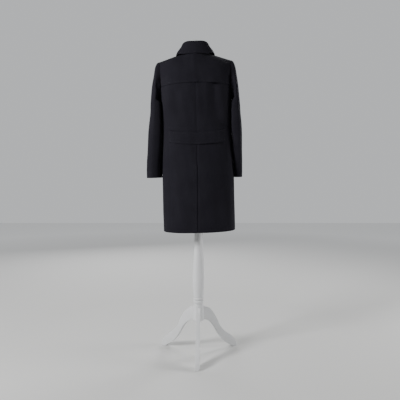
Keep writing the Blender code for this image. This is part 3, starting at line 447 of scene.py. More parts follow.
class MaterialMaker:
    """A new material with its node tree and its Principled BSDF, and the steps that the finishes share."""

    def __init__(self, name: str) -> None:
        """Make the material."""
        self.material = bpy.data.materials.new(name)
        self.material.use_nodes = True
        self.tree = self.material.node_tree
        self.shader = self.tree.nodes["Principled BSDF"]

    def effect(self, name: str, **values: float) -> bpy.types.NodeSocket:
        """Place a shader group, which is built at its first use.

        Args:
            name: the group's name.
            values: its inputs' values in this material.
        Returns:
            Its output's socket.
        """
        inputs, output, draw = GROUPS[name]
        group = bpy.data.node_groups.get(name)
        if group is None:
            group = bpy.data.node_groups.new(name, "ShaderNodeTree")
            for label, value in inputs.items():
                socket = group.interface.new_socket(label, in_out="INPUT", socket_type="NodeSocketFloat")
                socket.default_value = value
            group.interface.new_socket(output, in_out="OUTPUT", socket_type="NodeSocketFloat")
            start, end = group.nodes.new("NodeGroupInput"), group.nodes.new("NodeGroupOutput")
            group.links.new(draw(group, start.outputs), end.inputs[output])
        return add_node(self.tree, "Group", values, node_tree=group).outputs[output]

    def scaled(self, value: bpy.types.NodeSocket, factor: float) -> bpy.types.NodeSocket:
        """Return a socket's value times a factor."""
        return calculated(self.tree, "MULTIPLY", value, factor)

    def mixed(self, first: object, second: tuple, mask: bpy.types.NodeSocket) -> bpy.types.NodeSocket:
        """Return the mix of two colours by a mask.

        Args:
            first: a colour or a socket, shown where the mask is 0.
            second: a colour, shown where the mask is 1.
            mask: the mask's socket.
        Returns:
            The mixed colour's socket.
        """
        inputs = {"Factor": mask, 6: (*first, 1.0) if isinstance(first, tuple) else first, 7: (*second, 1.0)}
        return add_node(self.tree, "Mix", inputs, data_type="RGBA").outputs[2]

    def bump(self, height: bpy.types.NodeSocket, strength: float) -> bpy.types.NodeSocket:
        """Return the normals of a height in metres."""
        inputs = {"Strength": strength, "Distance": 1.0, "Height": height}
        return add_node(self.tree, "Bump", inputs).outputs["Normal"]

    def finished(self, inputs: dict) -> bpy.types.Material:
        """Feed the shader's inputs, by their names, and return the material."""
        feed(self.tree, self.shader, inputs)
        return self.material


@dataclass(frozen=True)
class WoolFinish:
    """Fine matt wool cloth, nearly black, with a soft nap."""
    name: str = "coat_wool"
    colour: tuple = (0.0098, 0.0090, 0.0130)
    light_colour: tuple = (0.0128, 0.0120, 0.0166)
    fleck_colour: tuple = (0.020, 0.019, 0.025)
    fleck_share: float = 0.30
    thread_pitch: float = 0.0011
    thread_depth: float = 0.00007
    nap_depth: float = 0.00020

    def build(self) -> bpy.types.Material:
        """Return the cloth's material."""
        maker = MaterialMaker(self.name)
        nap = maker.effect("soft_patches", Scale=420.0, Sharpness=0.5)
        patches = maker.effect("soft_patches", Scale=9.0, Sharpness=0.55)
        mixed = maker.mixed(self.colour, self.light_colour, patches)
        weave = maker.scaled(maker.effect("twill_weave", Pitch=self.thread_pitch), self.thread_depth)
        height = calculated(maker.tree, "ADD", weave, maker.scaled(nap, self.nap_depth))
        return maker.finished({
            "Base Color": maker.mixed(mixed, self.fleck_colour, maker.scaled(nap, self.fleck_share)),
            "Normal": maker.bump(height, 0.8), "Roughness": 0.92, "Sheen Weight": 0.020, "Sheen Roughness": 0.40,
            "Sheen Tint": (0.85, 0.87, 1.0, 1.0), "Specular IOR Level": 0.08})


@dataclass(frozen=True)
class ThreadFinish:
    """The coat's sewing thread, a shade lighter than its cloth."""
    name: str = "coat_thread"
    colour: tuple = (0.019, 0.018, 0.024)

    def build(self) -> bpy.types.Material:
        """Return the thread's material."""
        return MaterialMaker(self.name).finished({"Base Color": (*self.colour, 1.0), "Roughness": 0.55})


@dataclass(frozen=True)
class ButtonFinish:
    """Dark horn-like button, softly polished."""
    name: str = "button_horn"
    dark: tuple = (0.010, 0.009, 0.010)
    light: tuple = (0.034, 0.030, 0.030)

    def build(self) -> bpy.types.Material:
        """Return the button's material."""
        maker = MaterialMaker(self.name)
        streaks = maker.effect("soft_patches", Scale=160.0, Sharpness=0.35)
        return maker.finished({"Base Color": maker.mixed(self.dark, self.light, streaks), "Roughness": 0.32,
                               "Coat Weight": 0.15})


@dataclass(frozen=True)
class JerseyFinish:
    """Off-white jersey stretched over the form."""
    name: str = "form_jersey"
    colour: tuple = (0.66, 0.65, 0.63)
    light_colour: tuple = (0.72, 0.71, 0.69)
    knit_depth: float = 0.00012

    def build(self) -> bpy.types.Material:
        """Return the jersey's material."""
        maker = MaterialMaker(self.name)
        patches = maker.effect("soft_patches", Scale=14.0, Sharpness=0.5)
        knit = maker.scaled(maker.effect("soft_patches", Scale=900.0, Sharpness=0.6), self.knit_depth)
        return maker.finished({"Base Color": maker.mixed(self.colour, self.light_colour, patches),
                               "Normal": maker.bump(knit, 0.6), "Roughness": 0.85, "Sheen Weight": 0.10})


@dataclass(frozen=True)
class PaintFinish:
    """White satin paint on turned wood, with faint brush marks and soft handling wear."""
    name: str = "white_satin_paint"
    colour: tuple = (0.735, 0.742, 0.755)
    dull_colour: tuple = (0.640, 0.645, 0.650)
    worn_colour: tuple = (0.56, 0.55, 0.53)
    dull_share: float = 0.35
    worn_share: float = 0.10
    roughness: float = 0.42
    roughness_spread: float = 0.14
    brush_depth: float = 0.00010

    def build(self) -> bpy.types.Material:
        """Return the paint's material."""
        maker = MaterialMaker(self.name)
        patches = maker.effect("soft_patches", Scale=16.0, Sharpness=0.45)
        wear = maker.scaled(maker.effect("soft_patches", Scale=70.0, Sharpness=0.22), self.worn_share)
        brush = maker.scaled(maker.effect("brush_marks", Scale=60.0), self.brush_depth)
        base = maker.mixed(self.colour, self.dull_colour, maker.scaled(patches, self.dull_share))
        rough = calculated(maker.tree, "MULTIPLY_ADD", patches, self.roughness_spread, self.roughness)
        return maker.finished({"Base Color": maker.mixed(base, self.worn_colour, wear), "Roughness": rough,
                               "Normal": maker.bump(brush, 0.5)})


@dataclass
class Workshop:
    """Where the part stands, the finishes, and how a mesh becomes a piece of the part."""
    axis: Vector
    finishes: dict = field(default_factory=dict)

    def lean(self) -> Matrix:
        """Return the move from the coat's upright frame to where the coat and the form lean."""
        return (Matrix.Translation((self.axis.x, self.axis.y, LEAN_PIVOT))
                @ Matrix.Rotation(LEAN, 4, "Y") @ Matrix.Translation((0.0, 0.0, -LEAN_PIVOT)))

    def upright(self) -> Matrix:
        """Return the move from the pole's own axis to where it stands."""
        return Matrix.Translation((self.axis.x, self.axis.y, 0.0))

    def finish(self, kind: type) -> bpy.types.Material:
        """Return the material of a finish, built once."""
        made = kind()
        if made.name not in self.finishes:
            self.finishes[made.name] = made.build()
        return self.finishes[made.name]

    def add(self, name: str, points: np.ndarray, faces: list, kind: type, slot: str, node: tuple,
            leaning: bool = True, uv: np.ndarray | None = None, sharp: float = 0.0) -> bpy.types.Object:
        """Make a piece of the part from points and faces.

        Args:
            name: the piece's name.
            points: its points, in its own frame.
            faces: its faces, as point numbers.
            kind: its finish.
            slot: not used.
            node: the solids that it stands for.
            leaning: whether it leans with the coat.
            uv: a place on the flat cloth for each point.
            sharp: the angle in degrees from which its edges are sharp, or 0 for none.
        Returns:
            The piece.
        """
        mesh = new_mesh(name, points, faces)
        if uv is not None:
            layer = mesh.uv_layers.new(name="grain")
            index = np.empty(len(mesh.loops), dtype=np.int32)
            mesh.loops.foreach_get("vertex_index", index)
            layer.data.foreach_set("uv", uv[index].astype(np.float32).ravel())
        mesh.transform(self.lean() if leaning else self.upright())
        mesh.shade_smooth()
        mesh.materials.append(self.finish(kind))
        mesh.validate()
        if sharp:
            mesh.set_sharp_from_angle(angle=math.radians(sharp))
        piece = placed(name, mesh)
        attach(piece, "root")
        if node:
            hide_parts(*node)
        LOG.info("%s: %d faces", name, len(mesh.polygons))
        return piece

    def add_cloth(self, key: str, cloth: "Cloth", held: str = "hung", node: bool = True,
                  rests_on: tuple = ("dress_form",)) -> None:
        """Make a piece of cloth.

        Args:
            key: the name of the solid that it stands for, and of the piece.
            cloth: its points.
            held: not used.
            node: whether it stands for a solid.
            rests_on: not used.
        """
        points, faces, uv = cloth.wall()
        piece = self.add(f"{key}_cloth", points, faces, WoolFinish, "coat_cloth", (key,) if node else (), uv=uv)


@dataclass
class Cloth:
    """One piece of cloth: its outer points and normals, and how its edges are finished."""
    grid: np.ndarray
    normals: np.ndarray
    thickness: float = CLOTH
    edge_width: float = 0.0015

    def wall(self) -> tuple:
        """Return a closed wall's points, faces and places on the flat cloth, with round edges.

        Returns:
            The points, the faces and the uv places.
        """
        grid, normals = self.edged(self.grid), self.edged(self.normals)
        rows, columns = grid.shape[:2]
        inner = grid - normals * self.thickness
        count = rows * columns
        u = arc_lengths(grid, 1)
        u = u - u[:, columns // 2][:, None]
        v = arc_lengths(grid, 0)
        flat = np.stack((u, v), axis=-1).reshape(-1, 2)
        number = np.arange(count).reshape(rows, columns)
        a, b = number[:-1, :-1], number[:-1, 1:]
        d, c = number[1:, :-1], number[1:, 1:]
        outer_faces = np.stack((a, b, c, d), axis=-1).reshape(-1, 4)
        inner_faces = np.stack((a, d, c, b), axis=-1).reshape(-1, 4) + count
        rim = np.concatenate((number[0, :-1], number[:-1, -1], number[-1, :0:-1], number[:0:-1, 0]))
        row_of, column_of = np.divmod(rim, columns)
        middle = (grid.reshape(-1, 3)[rim] + inner.reshape(-1, 3)[rim]) / 2
        inward = self.inward(grid)[row_of, column_of]
        bulge = middle - inward * self.thickness * 0.30
        points = np.concatenate((grid.reshape(-1, 3), inner.reshape(-1, 3), bulge))
        uv = np.concatenate((flat, flat, flat[rim]))
        ring = np.arange(len(rim))
        after = np.roll(ring, -1)
        low = np.stack((rim, 2 * count + ring, 2 * count + after, rim[after]), axis=-1)
        high = np.stack((2 * count + ring, rim + count, rim[after] + count, 2 * count + after), axis=-1)
        faces = np.concatenate((outer_faces, inner_faces, low, high))
        if self.flipped():
            faces = faces[:, ::-1]
        return points, faces.tolist(), uv

    def edged(self, values: np.ndarray) -> np.ndarray:
        """Return the points' values with one more row and column close inside each edge."""
        for axis in (0, 1):
            values = np.moveaxis(values, axis, 0)
            grid = self.grid if axis == 0 else np.swapaxes(self.grid, 0, 1)
            step = [float(np.median(np.linalg.norm(grid[a] - grid[b], axis=-1))) for a, b in ((0, 1), (-1, -2))]
            shares = [min(0.5, self.edge_width / length) for length in step]
            first = values[0] + (values[1] - values[0]) * shares[0]
            last = values[-1] + (values[-2] - values[-1]) * shares[1]
            values = np.concatenate((values[:1], first[None], values[1:-1], last[None], values[-1:]))
            values = np.moveaxis(values, 0, axis)
        return values

    def inward(self, grid: np.ndarray) -> np.ndarray:
        """Return at each edge point of a grid the direction into the piece."""
        result = np.zeros_like(grid)
        result[0] += unit(grid[1] - grid[0])
        result[-1] += unit(grid[-2] - grid[-1])
        result[:, 0] += unit(grid[:, 1] - grid[:, 0])
        result[:, -1] += unit(grid[:, -2] - grid[:, -1])
        return unit(result)

    def flipped(self) -> bool:
        """Return whether the faces' winding points inward."""
        natural = np.cross(self.grid[0, 1] - self.grid[0, 0], self.grid[1, 0] - self.grid[0, 0])
        return float(np.dot(natural, self.normals[0, 0])) < 0

    def cut(self) -> tuple:
        """Return the flat cut: width, length and area, in metres."""
        widths = arc_lengths(self.grid, 1)[:, -1]
        lengths = arc_lengths(self.grid, 0)[-1]
        side_a = self.grid[1:, 1:] - self.grid[:-1, :-1]
        side_b = self.grid[1:, :-1] - self.grid[:-1, 1:]
        area = float(np.linalg.norm(np.cross(side_a, side_b), axis=-1).sum() / 2)
        width, length = float(widths.max()), float(lengths.max())
        return width, length, min(area, width * length)


def neckline(place: np.ndarray) -> np.ndarray:
    """Return the left neckline from the centre back, 0, past the side neck to the centre front, 1."""
    place = np.asarray(place, float)
    behind = place <= SIDE_NECK_PLACE
    angle = np.where(behind, place / SIDE_NECK_PLACE, (1.0 - place) / (1.0 - SIDE_NECK_PLACE)) * math.pi / 2
    depth = np.where(behind, NECK_BEHIND - NECK_SIDE, NECK_BEFORE - NECK_SIDE) * np.cos(angle)
    height = NECK_HEIGHT + np.where(behind, 0.0010 * np.cos(angle), -0.0625 * np.cos(angle) ** 2)
    return np.stack((NECK_HALF_WIDTH * np.sin(angle), NECK_SIDE + depth, height), axis=-1)


def neck_place(x: np.ndarray, behind: bool) -> np.ndarray:
    """Return the place along the neckline where a column that crosses the yoke line at x ends."""
    start = math.asin(OVERLAP / NECK_COLUMN_X) / (math.pi / 2)
    near = np.arcsin(np.clip(x / NECK_COLUMN_X, -1.0, 1.0)) / (math.pi / 2)
    far = start + (1.0 - start) * (np.minimum(x, NECK_COLUMN_X) - OVERLAP) / (NECK_COLUMN_X - OVERLAP)
    share = np.where(x <= OVERLAP, near, far)
    return share * SIDE_NECK_PLACE if behind else 1.0 - share * (1.0 - SIDE_NECK_PLACE)


def belt_droop(x: np.ndarray, height: np.ndarray) -> np.ndarray:
    """Return how far a row of the back is raised at its ends, so that the rows follow the belt's sag."""
    nearness = fade(np.abs(height - BELT_MIDDLE) / DROOP_REACH)
    return BELT_DROOP * (x / BELT_HALF_WIDTH) ** 2 * nearness


@dataclass
class CoatShape:
    """The torso surface that every panel of the coat is cut from, as fine grids of points."""
    row_step: float = 0.0062
    rise_steps: int = 30
    ease_rounds: int = 60
    plumb_step: float = 0.0107
    plumb_reach: float = 0.090
    ripple_depth: float = 0.00055
    swell_depth: float = 0.0014
    swell_height: float = 0.0065
    corner_depth: float = 0.0046
    corner_place: float = 0.123
    corner_reach: float = 0.020

    def heights(self) -> np.ndarray:
        """Return the rows' heights from the hem to the yoke line."""
        stops = [HEM_HEIGHT, VENT_HEIGHT, BELT_BOTTOM, BELT_TOP, UNDERARM_HEIGHT, YOKE_HEIGHT]
        return spread(stops, [max(1, round((b - a) / self.row_step)) for a, b in zip(stops, stops[1:])])

    def plumb_shift(self, height: np.ndarray) -> np.ndarray:
        """Return how far the centre back line stands to the wearer's left, as it hangs plumb below the belt."""
        return self.plumb_step * np.clip((BELT_BOTTOM - height) / (BELT_BOTTOM - HEM_HEIGHT), 0.0, 1.0)

    def wide_panel(self, behind: bool, hand: Side = Side.LEFT) -> np.ndarray:
        """Return a back or a front, set out to the wearer's left, from the hem to the shoulder, row by row.

        Args:
            behind: whether it is the back.
            hand: the side that it is for, because the centre back line isn't in the middle.
        Returns:
            The grid, from the middle outward.
        """
        seam = read_table(SEAMS, YOKE_HEIGHT)
        outer_x = seam[0 if behind else 1]
        if behind:
            columns = np.concatenate(([0.0, 0.0015, 0.0045, 0.0080, 0.0105, 0.0120, 0.0135],
                                      spread([0.0170, NECK_COLUMN_X, outer_x], [10, 22])))
        else:
            columns = spread([-OVERLAP, 0.0, OVERLAP, NECK_COLUMN_X, outer_x], [6, 6, 8, 22])
        straight = 0.0 if behind else OVERLAP
        height = self.heights()[:, None]
        places = read_table(SEAMS, height[:, 0])[:, 0 if behind else 1][:, None]
        widened = straight + (columns - straight) * (places - straight) / (outer_x - straight)
        x = np.where(columns <= straight, columns, widened)
        if behind:
            x = x + hand.value * self.plumb_shift(height) * fade(x / self.plumb_reach)
        z = height + (belt_droop(x, height) if behind else 0.0 * x)
        section = read_table(BODY, z)
        depth = superellipse(section[..., 1 if behind else 2], x, section[..., 0], section[..., 3])
        lower = np.stack((x, depth if behind else -depth, z), axis=-1)
        start = lower[-1]
        shoulder = (neckline(SIDE_NECK_PLACE)
                    + (np.array(SHOULDER_TIP) - neckline(SIDE_NECK_PLACE))
                    * ((columns - NECK_COLUMN_X) / (outer_x - NECK_COLUMN_X))[:, None])
        end = np.where((columns >= NECK_COLUMN_X)[:, None], shoulder, neckline(neck_place(columns, behind)))
        rise = np.linspace(0.0, 1.0, self.rise_steps + 1)[1:, None]
        over = smooth_step((np.abs(columns) / outer_x - 0.10) / 0.45)[None]
        level = (1.0 - over) * rise ** 1.9 + over * (1.0 - np.cos(rise * math.pi / 2))
        climb = (1.0 - over) * rise + over * np.sin(rise * math.pi / 2)
        upper = np.stack((start[:, 0] + (end[:, 0] - start[:, 0]) * rise,
                          start[:, 1] + (end[:, 1] - start[:, 1]) * level,
                          start[:, 2] + (end[:, 2] - start[:, 2]) * climb), axis=-1)
        return np.concatenate((lower, upper))

    def side_reach(self, y: np.ndarray, z: np.ndarray) -> np.ndarray:
        """Return how far the body reaches to the side at a place before or behind its middle, and a height."""
        section = read_table(BODY, z)
        depth = np.where(y > 0, section[..., 1], section[..., 2])
        return superellipse(section[..., 0], y, depth, section[..., 3])

    def side_surface(self, place: np.ndarray, height: np.ndarray, dip: float = 0.0) -> np.ndarray:
        """Return points of the wearer's left side.

        Args:
            place: places from its back seam, 0, to its front one, 1.
            height: heights, before the belt's sag.
            dip: how far the points are lowered.
        Returns:
            The points.
        """
        seam = read_table(SEAMS, height)
        droop = belt_droop(seam[..., 0], height)
        z = height + droop * (1.0 - place) ** 2 - dip
        back = read_table(BODY, height + droop)
        front = read_table(BODY, height)
        back_y = superellipse(back[..., 1], seam[..., 0], back[..., 0], back[..., 3])
        front_y = -superellipse(front[..., 2], seam[..., 1], front[..., 0], front[..., 3])
        y = back_y + (front_y - back_y) * place
        return np.stack((self.side_reach(y, z), y, z), axis=-1)

    def side_panel(self) -> np.ndarray:
        """Return the wearer's left side panel, from the hem to the armhole, from back to front."""
        place = np.linspace(0.0, 1.0, 25)[None]
        height = self.heights()[:, None]
        across = np.abs(2.0 * place - 1.0)
        dip = ((YOKE_HEIGHT - UNDERARM_HEIGHT) * np.sqrt(np.maximum(1.0 - across * across, 0.0))
               * smooth_step((height - 1.25) / 0.2))
        return self.side_surface(place, height, dip)

    def fold_depth(self, grid: np.ndarray) -> np.ndarray:
        """Return how far the large folds move each point inward."""
        total = np.zeros(grid.shape[:2])
        for behind, top_x, top_z, foot_x, foot_z, half_width, depth in FOLDS:
            share = (grid[..., 2] - foot_z) / (top_z - foot_z)
            across = np.abs(grid[..., 0] - (foot_x + (top_x - foot_x) * share)) / half_width
            along = smooth_step(share / 0.3) * smooth_step((1.0 - share) / 0.15)
            total += np.where((grid[..., 1] > 0) == behind, depth * fade(across) * along, 0.0)
        return total

    def valley(self, grid: np.ndarray) -> np.ndarray:
        """Return how far the loose valley of the upper right back moves each point inward."""
        table = read_table(VALLEY, grid[..., 2] - belt_droop(grid[..., 0], grid[..., 2]))
        left, bottom, right, depth = (table[..., index] for index in range(4))
        x = grid[..., 0]
        share = np.clip((left - x) / (left - bottom), 0.0, 1.0)
        falling = 0.45 * share + 0.55 * smooth_step(share)
        rising = fade((bottom - x) / (bottom - right))
        return np.where(grid[..., 1] > 0, depth * np.minimum(falling, rising), 0.0)

    def blouse(self, grid: np.ndarray) -> np.ndarray:
        """Return how far the back swells out just above the belt, most of all at its upper left corner."""
        x = grid[..., 0]
        above = grid[..., 2] - BELT_TOP - belt_droop(x, np.full(x.shape, BELT_TOP))
        near = hump(above, self.swell_height, self.swell_height) * smooth_step((above + 0.001) / 0.003)
        size = (self.corner_depth * hump(x, self.corner_place, self.corner_reach)
                + self.swell_depth * smooth_step((x + 0.02) / 0.03))
        return np.where(grid[..., 1] > 0, near * size * smooth_step((0.156 - x) / 0.014), 0.0)

    def ripple(self, grid: np.ndarray) -> np.ndarray:
        """Return the small uneven swells of hanging cloth at each point."""
        x, y, z = grid[..., 0], grid[..., 1], grid[..., 2]
        around = np.arctan2(y, x)
        swell = (np.sin(around * 7.0 + z * 5.0 + 0.7) * np.sin(z * 9.0 + 1.3)
                 + 0.7 * np.sin(around * 12.0 - z * 8.0 + 2.1) * np.sin(z * 15.0)
                 + 0.4 * np.sin(around * 19.0 + z * 21.0 + 0.4))
        return self.ripple_depth * swell

    def dressed(self, grid: np.ndarray, flip: bool, with_valley: bool = True) -> tuple:
        """Return a panel with its folds and swells, and its normals.

        Args:
            grid: the smooth panel.
            flip: whether its normals are turned round.
            with_valley: whether the upper back's valley is in it.
        Returns:
            The grid and its normals.
        """
        normals = grid_normals(grid, flip)
        depth = self.fold_depth(grid) + self.ripple(grid) - self.blouse(grid)
        if with_valley:
            depth = depth + self.valley(grid)
        moved = grid - normals * depth[..., None]
        return moved, grid_normals(moved, flip)

    def eased_back(self) -> np.ndarray:
        """Return the whole back, from the wearer's left armhole to the right, eased at the neck."""
        left = self.wide_panel(True)
        right = mirrored(self.wide_panel(True, Side.RIGHT)[:, 1:], Side.RIGHT)
        return self.eased(np.concatenate((left[:, ::-1], right), axis=1))

    def eased(self, grid: np.ndarray) -> np.ndarray:
        """Return a panel eased above the yoke line, where its columns fan out to neck and shoulder."""
        weight = smooth_step((grid[..., 2] - (YOKE_HEIGHT - 0.04)) / 0.03)
        return relaxed(grid, self.ease_rounds, weight)


def edge_groove(grid: np.ndarray, normals: np.ndarray, edges: str, depth: float, reach: float) -> np.ndarray:
    """Return a grid that dips toward its seams.

    Args:
        grid: the panel's points.
        normals: their normals.
        edges: which edges are seams: first_column, last_column, last_row.
        depth: how deep the seam lies.
        reach: how wide the dip is.
    Returns:
        The dipped grid.
    """
    across, along = arc_lengths(grid, 1), arc_lengths(grid, 0)
    away = {"first_column": across, "last_column": across[:, -1:] - across, "last_row": along[-1:] - along}
    total = np.zeros(grid.shape[:2])
    for edge in edges.split():
        total = np.maximum(total, fade(away[edge] / reach))
    return grid - normals * (total * depth)[..., None]


def drawn_back(grid: np.ndarray, edges: str, gap: float = SEAM_GAP / 2) -> np.ndarray:
    """Return a grid whose named edges are drawn back by half a seam's gap."""
    result = grid.copy()
    if "last_row" in edges:
        result[-1] += unit(grid[-2] - grid[-1]) * gap
    if "first_column" in edges:
        result[:, 0] += unit(grid[:, 1] - grid[:, 0]) * gap
    if "last_column" in edges:
        result[:, -1] += unit(grid[:, -2] - grid[:, -1]) * gap
    return result


@dataclass
class BodyPanels:
    """The backs, fronts and side panels of the coat."""
    shop: Workshop
    shape: CoatShape
    seam_depth: float = 0.0010
    seam_reach: float = 0.0060
    soft_depth: float = 0.0009
    soft_reach: float = 0.016
    sunk_reach: float = 0.012
    underlap_gap: float = 0.0004
    vent_width: float = 0.055
    vent_rows: tuple = (0.0080, 0.0160)
    chest_lift: float = 0.50
    chest_height: float = 1.474
    chest_reach: float = 0.032
    grids: dict = field(default_factory=dict)
    normals: dict = field(default_factory=dict)
    laid: dict = field(default_factory=dict)
    spanned: np.ndarray | None = None
    spanned_normals: np.ndarray | None = None

    def prepare(self) -> None:
        """Work out the six panels' points and normals."""
        plain = self.shape.eased_back()
        back, back_normals = self.shape.dressed(plain, True)
        self.spanned, self.spanned_normals = self.shape.dressed(plain, True, with_valley=False)
        middle = back.shape[1] // 2
        for key, pick in (("back_left", slice(middle, None, -1)), ("back_right", slice(middle, None))):
            self.grids[key], self.normals[key] = back[:, pick], back_normals[:, pick]
        front = self.shape.eased(self.shape.wide_panel(False))
        side = self.shape.side_panel()
        for hand in Side:
            flip = hand is Side.LEFT
            for name, grid, turned in (("front", front, flip), ("side", side, not flip)):
                key = f"{name}_{hand.word}"
                self.grids[key], self.normals[key] = self.shape.dressed(mirrored(grid, hand), turned)

    def build(self) -> None:
        """Make the panels' pieces."""
        self.prepare()
        for hand in Side:
            for name in ("back", "front", "side"):
                key = f"{name}_{hand.word}"
                grid, normals = self.grids[key], self.normals[key]
                seams = "first_column last_column" if name == "side" else "last_column last_row"
                if key == "front_right":
                    grid = self.lapped(grid, normals)
                if name == "back":
                    grid = self.centre_seam(grid, normals, hand)
                grid = edge_groove(grid, normals, seams, self.seam_depth, self.seam_reach)
                self.laid[key] = grid
                self.shop.add_cloth(key, Cloth(drawn_back(grid, seams), normals))
        self.vent_underlap()

    def lapped(self, grid: np.ndarray, normals: np.ndarray) -> np.ndarray:
        """Return the right front lifted where it laps over the left one."""
        near = (np.abs(grid[..., 0]) - OVERLAP) / (OVERLAP_FADE - OVERLAP)
        chest = 1.0 + self.chest_lift * hump(grid[..., 2], self.chest_height, self.chest_reach)
        return grid + normals * (UNDERLAP_DEPTH * chest * fade(near))[..., None]

    def centre_seam(self, grid: np.ndarray, normals: np.ndarray, hand: Side) -> np.ndarray:
        """Return a back with the centre seam's dip above the vent, and the right one sunk below it."""
        along = arc_lengths(grid, 1)
        above = smooth_step((grid[..., 2] - VENT_HEIGHT) / 0.004)
        below_belt = fade((grid[..., 2] - BELT_BOTTOM) / 0.02)
        soft = self.soft_depth * fade(along / self.soft_reach) * (1.0 - below_belt)
        sharp = self.seam_depth * (0.5 + 1.3 * below_belt) * fade(along / self.seam_reach)
        dip = (sharp + soft) * above
        if hand is Side.RIGHT:
            dip = dip + UNDERLAP_DEPTH * fade(along / self.sunk_reach) * (1.0 - above)
        return grid - normals * dip[..., None]

    def vent_underlap(self) -> None:
        """Make the vent's underlap: the right back's own cloth that lies beneath the left one."""
        grid, normals = self.grids["back_left"], self.normals["back_left"]
        rows = nearest(grid[:, 0, 2], VENT_HEIGHT) + 1
        reach = nearest(grid[0, :, 0], self.vent_width) + 1
        under = grid[:rows, :reach] - normals[:rows, :reach] * (UNDERLAP_DEPTH + self.underlap_gap)
        self.shop.add_cloth("vent_underlap", Cloth(under, normals[:rows, :reach]), node=False)

    def sew(self, stitcher: "Stitcher") -> None:
        """Make the stitching of the vent and of the right front's edge."""
        back, line = self.laid["back_left"], self.normals["back_left"]
        row = nearest(back[:, 0, 2], VENT_HEIGHT)
        paths = []
        for top, inset in enumerate(self.vent_rows, start=row):
            column = nearest(arc_lengths(back, 1)[0], inset)
            paths += [(back[2:top + 1, column], line[2:top + 1, column]),
                      (back[top, column::-1], line[top, column::-1])]
        stitcher.sew("vent_stitching", paths)
        front, line = self.laid["front_right"], self.normals["front_right"]
        stitcher.sew("front_stitching", [(front[1:-2, 2], line[1:-2, 2])])


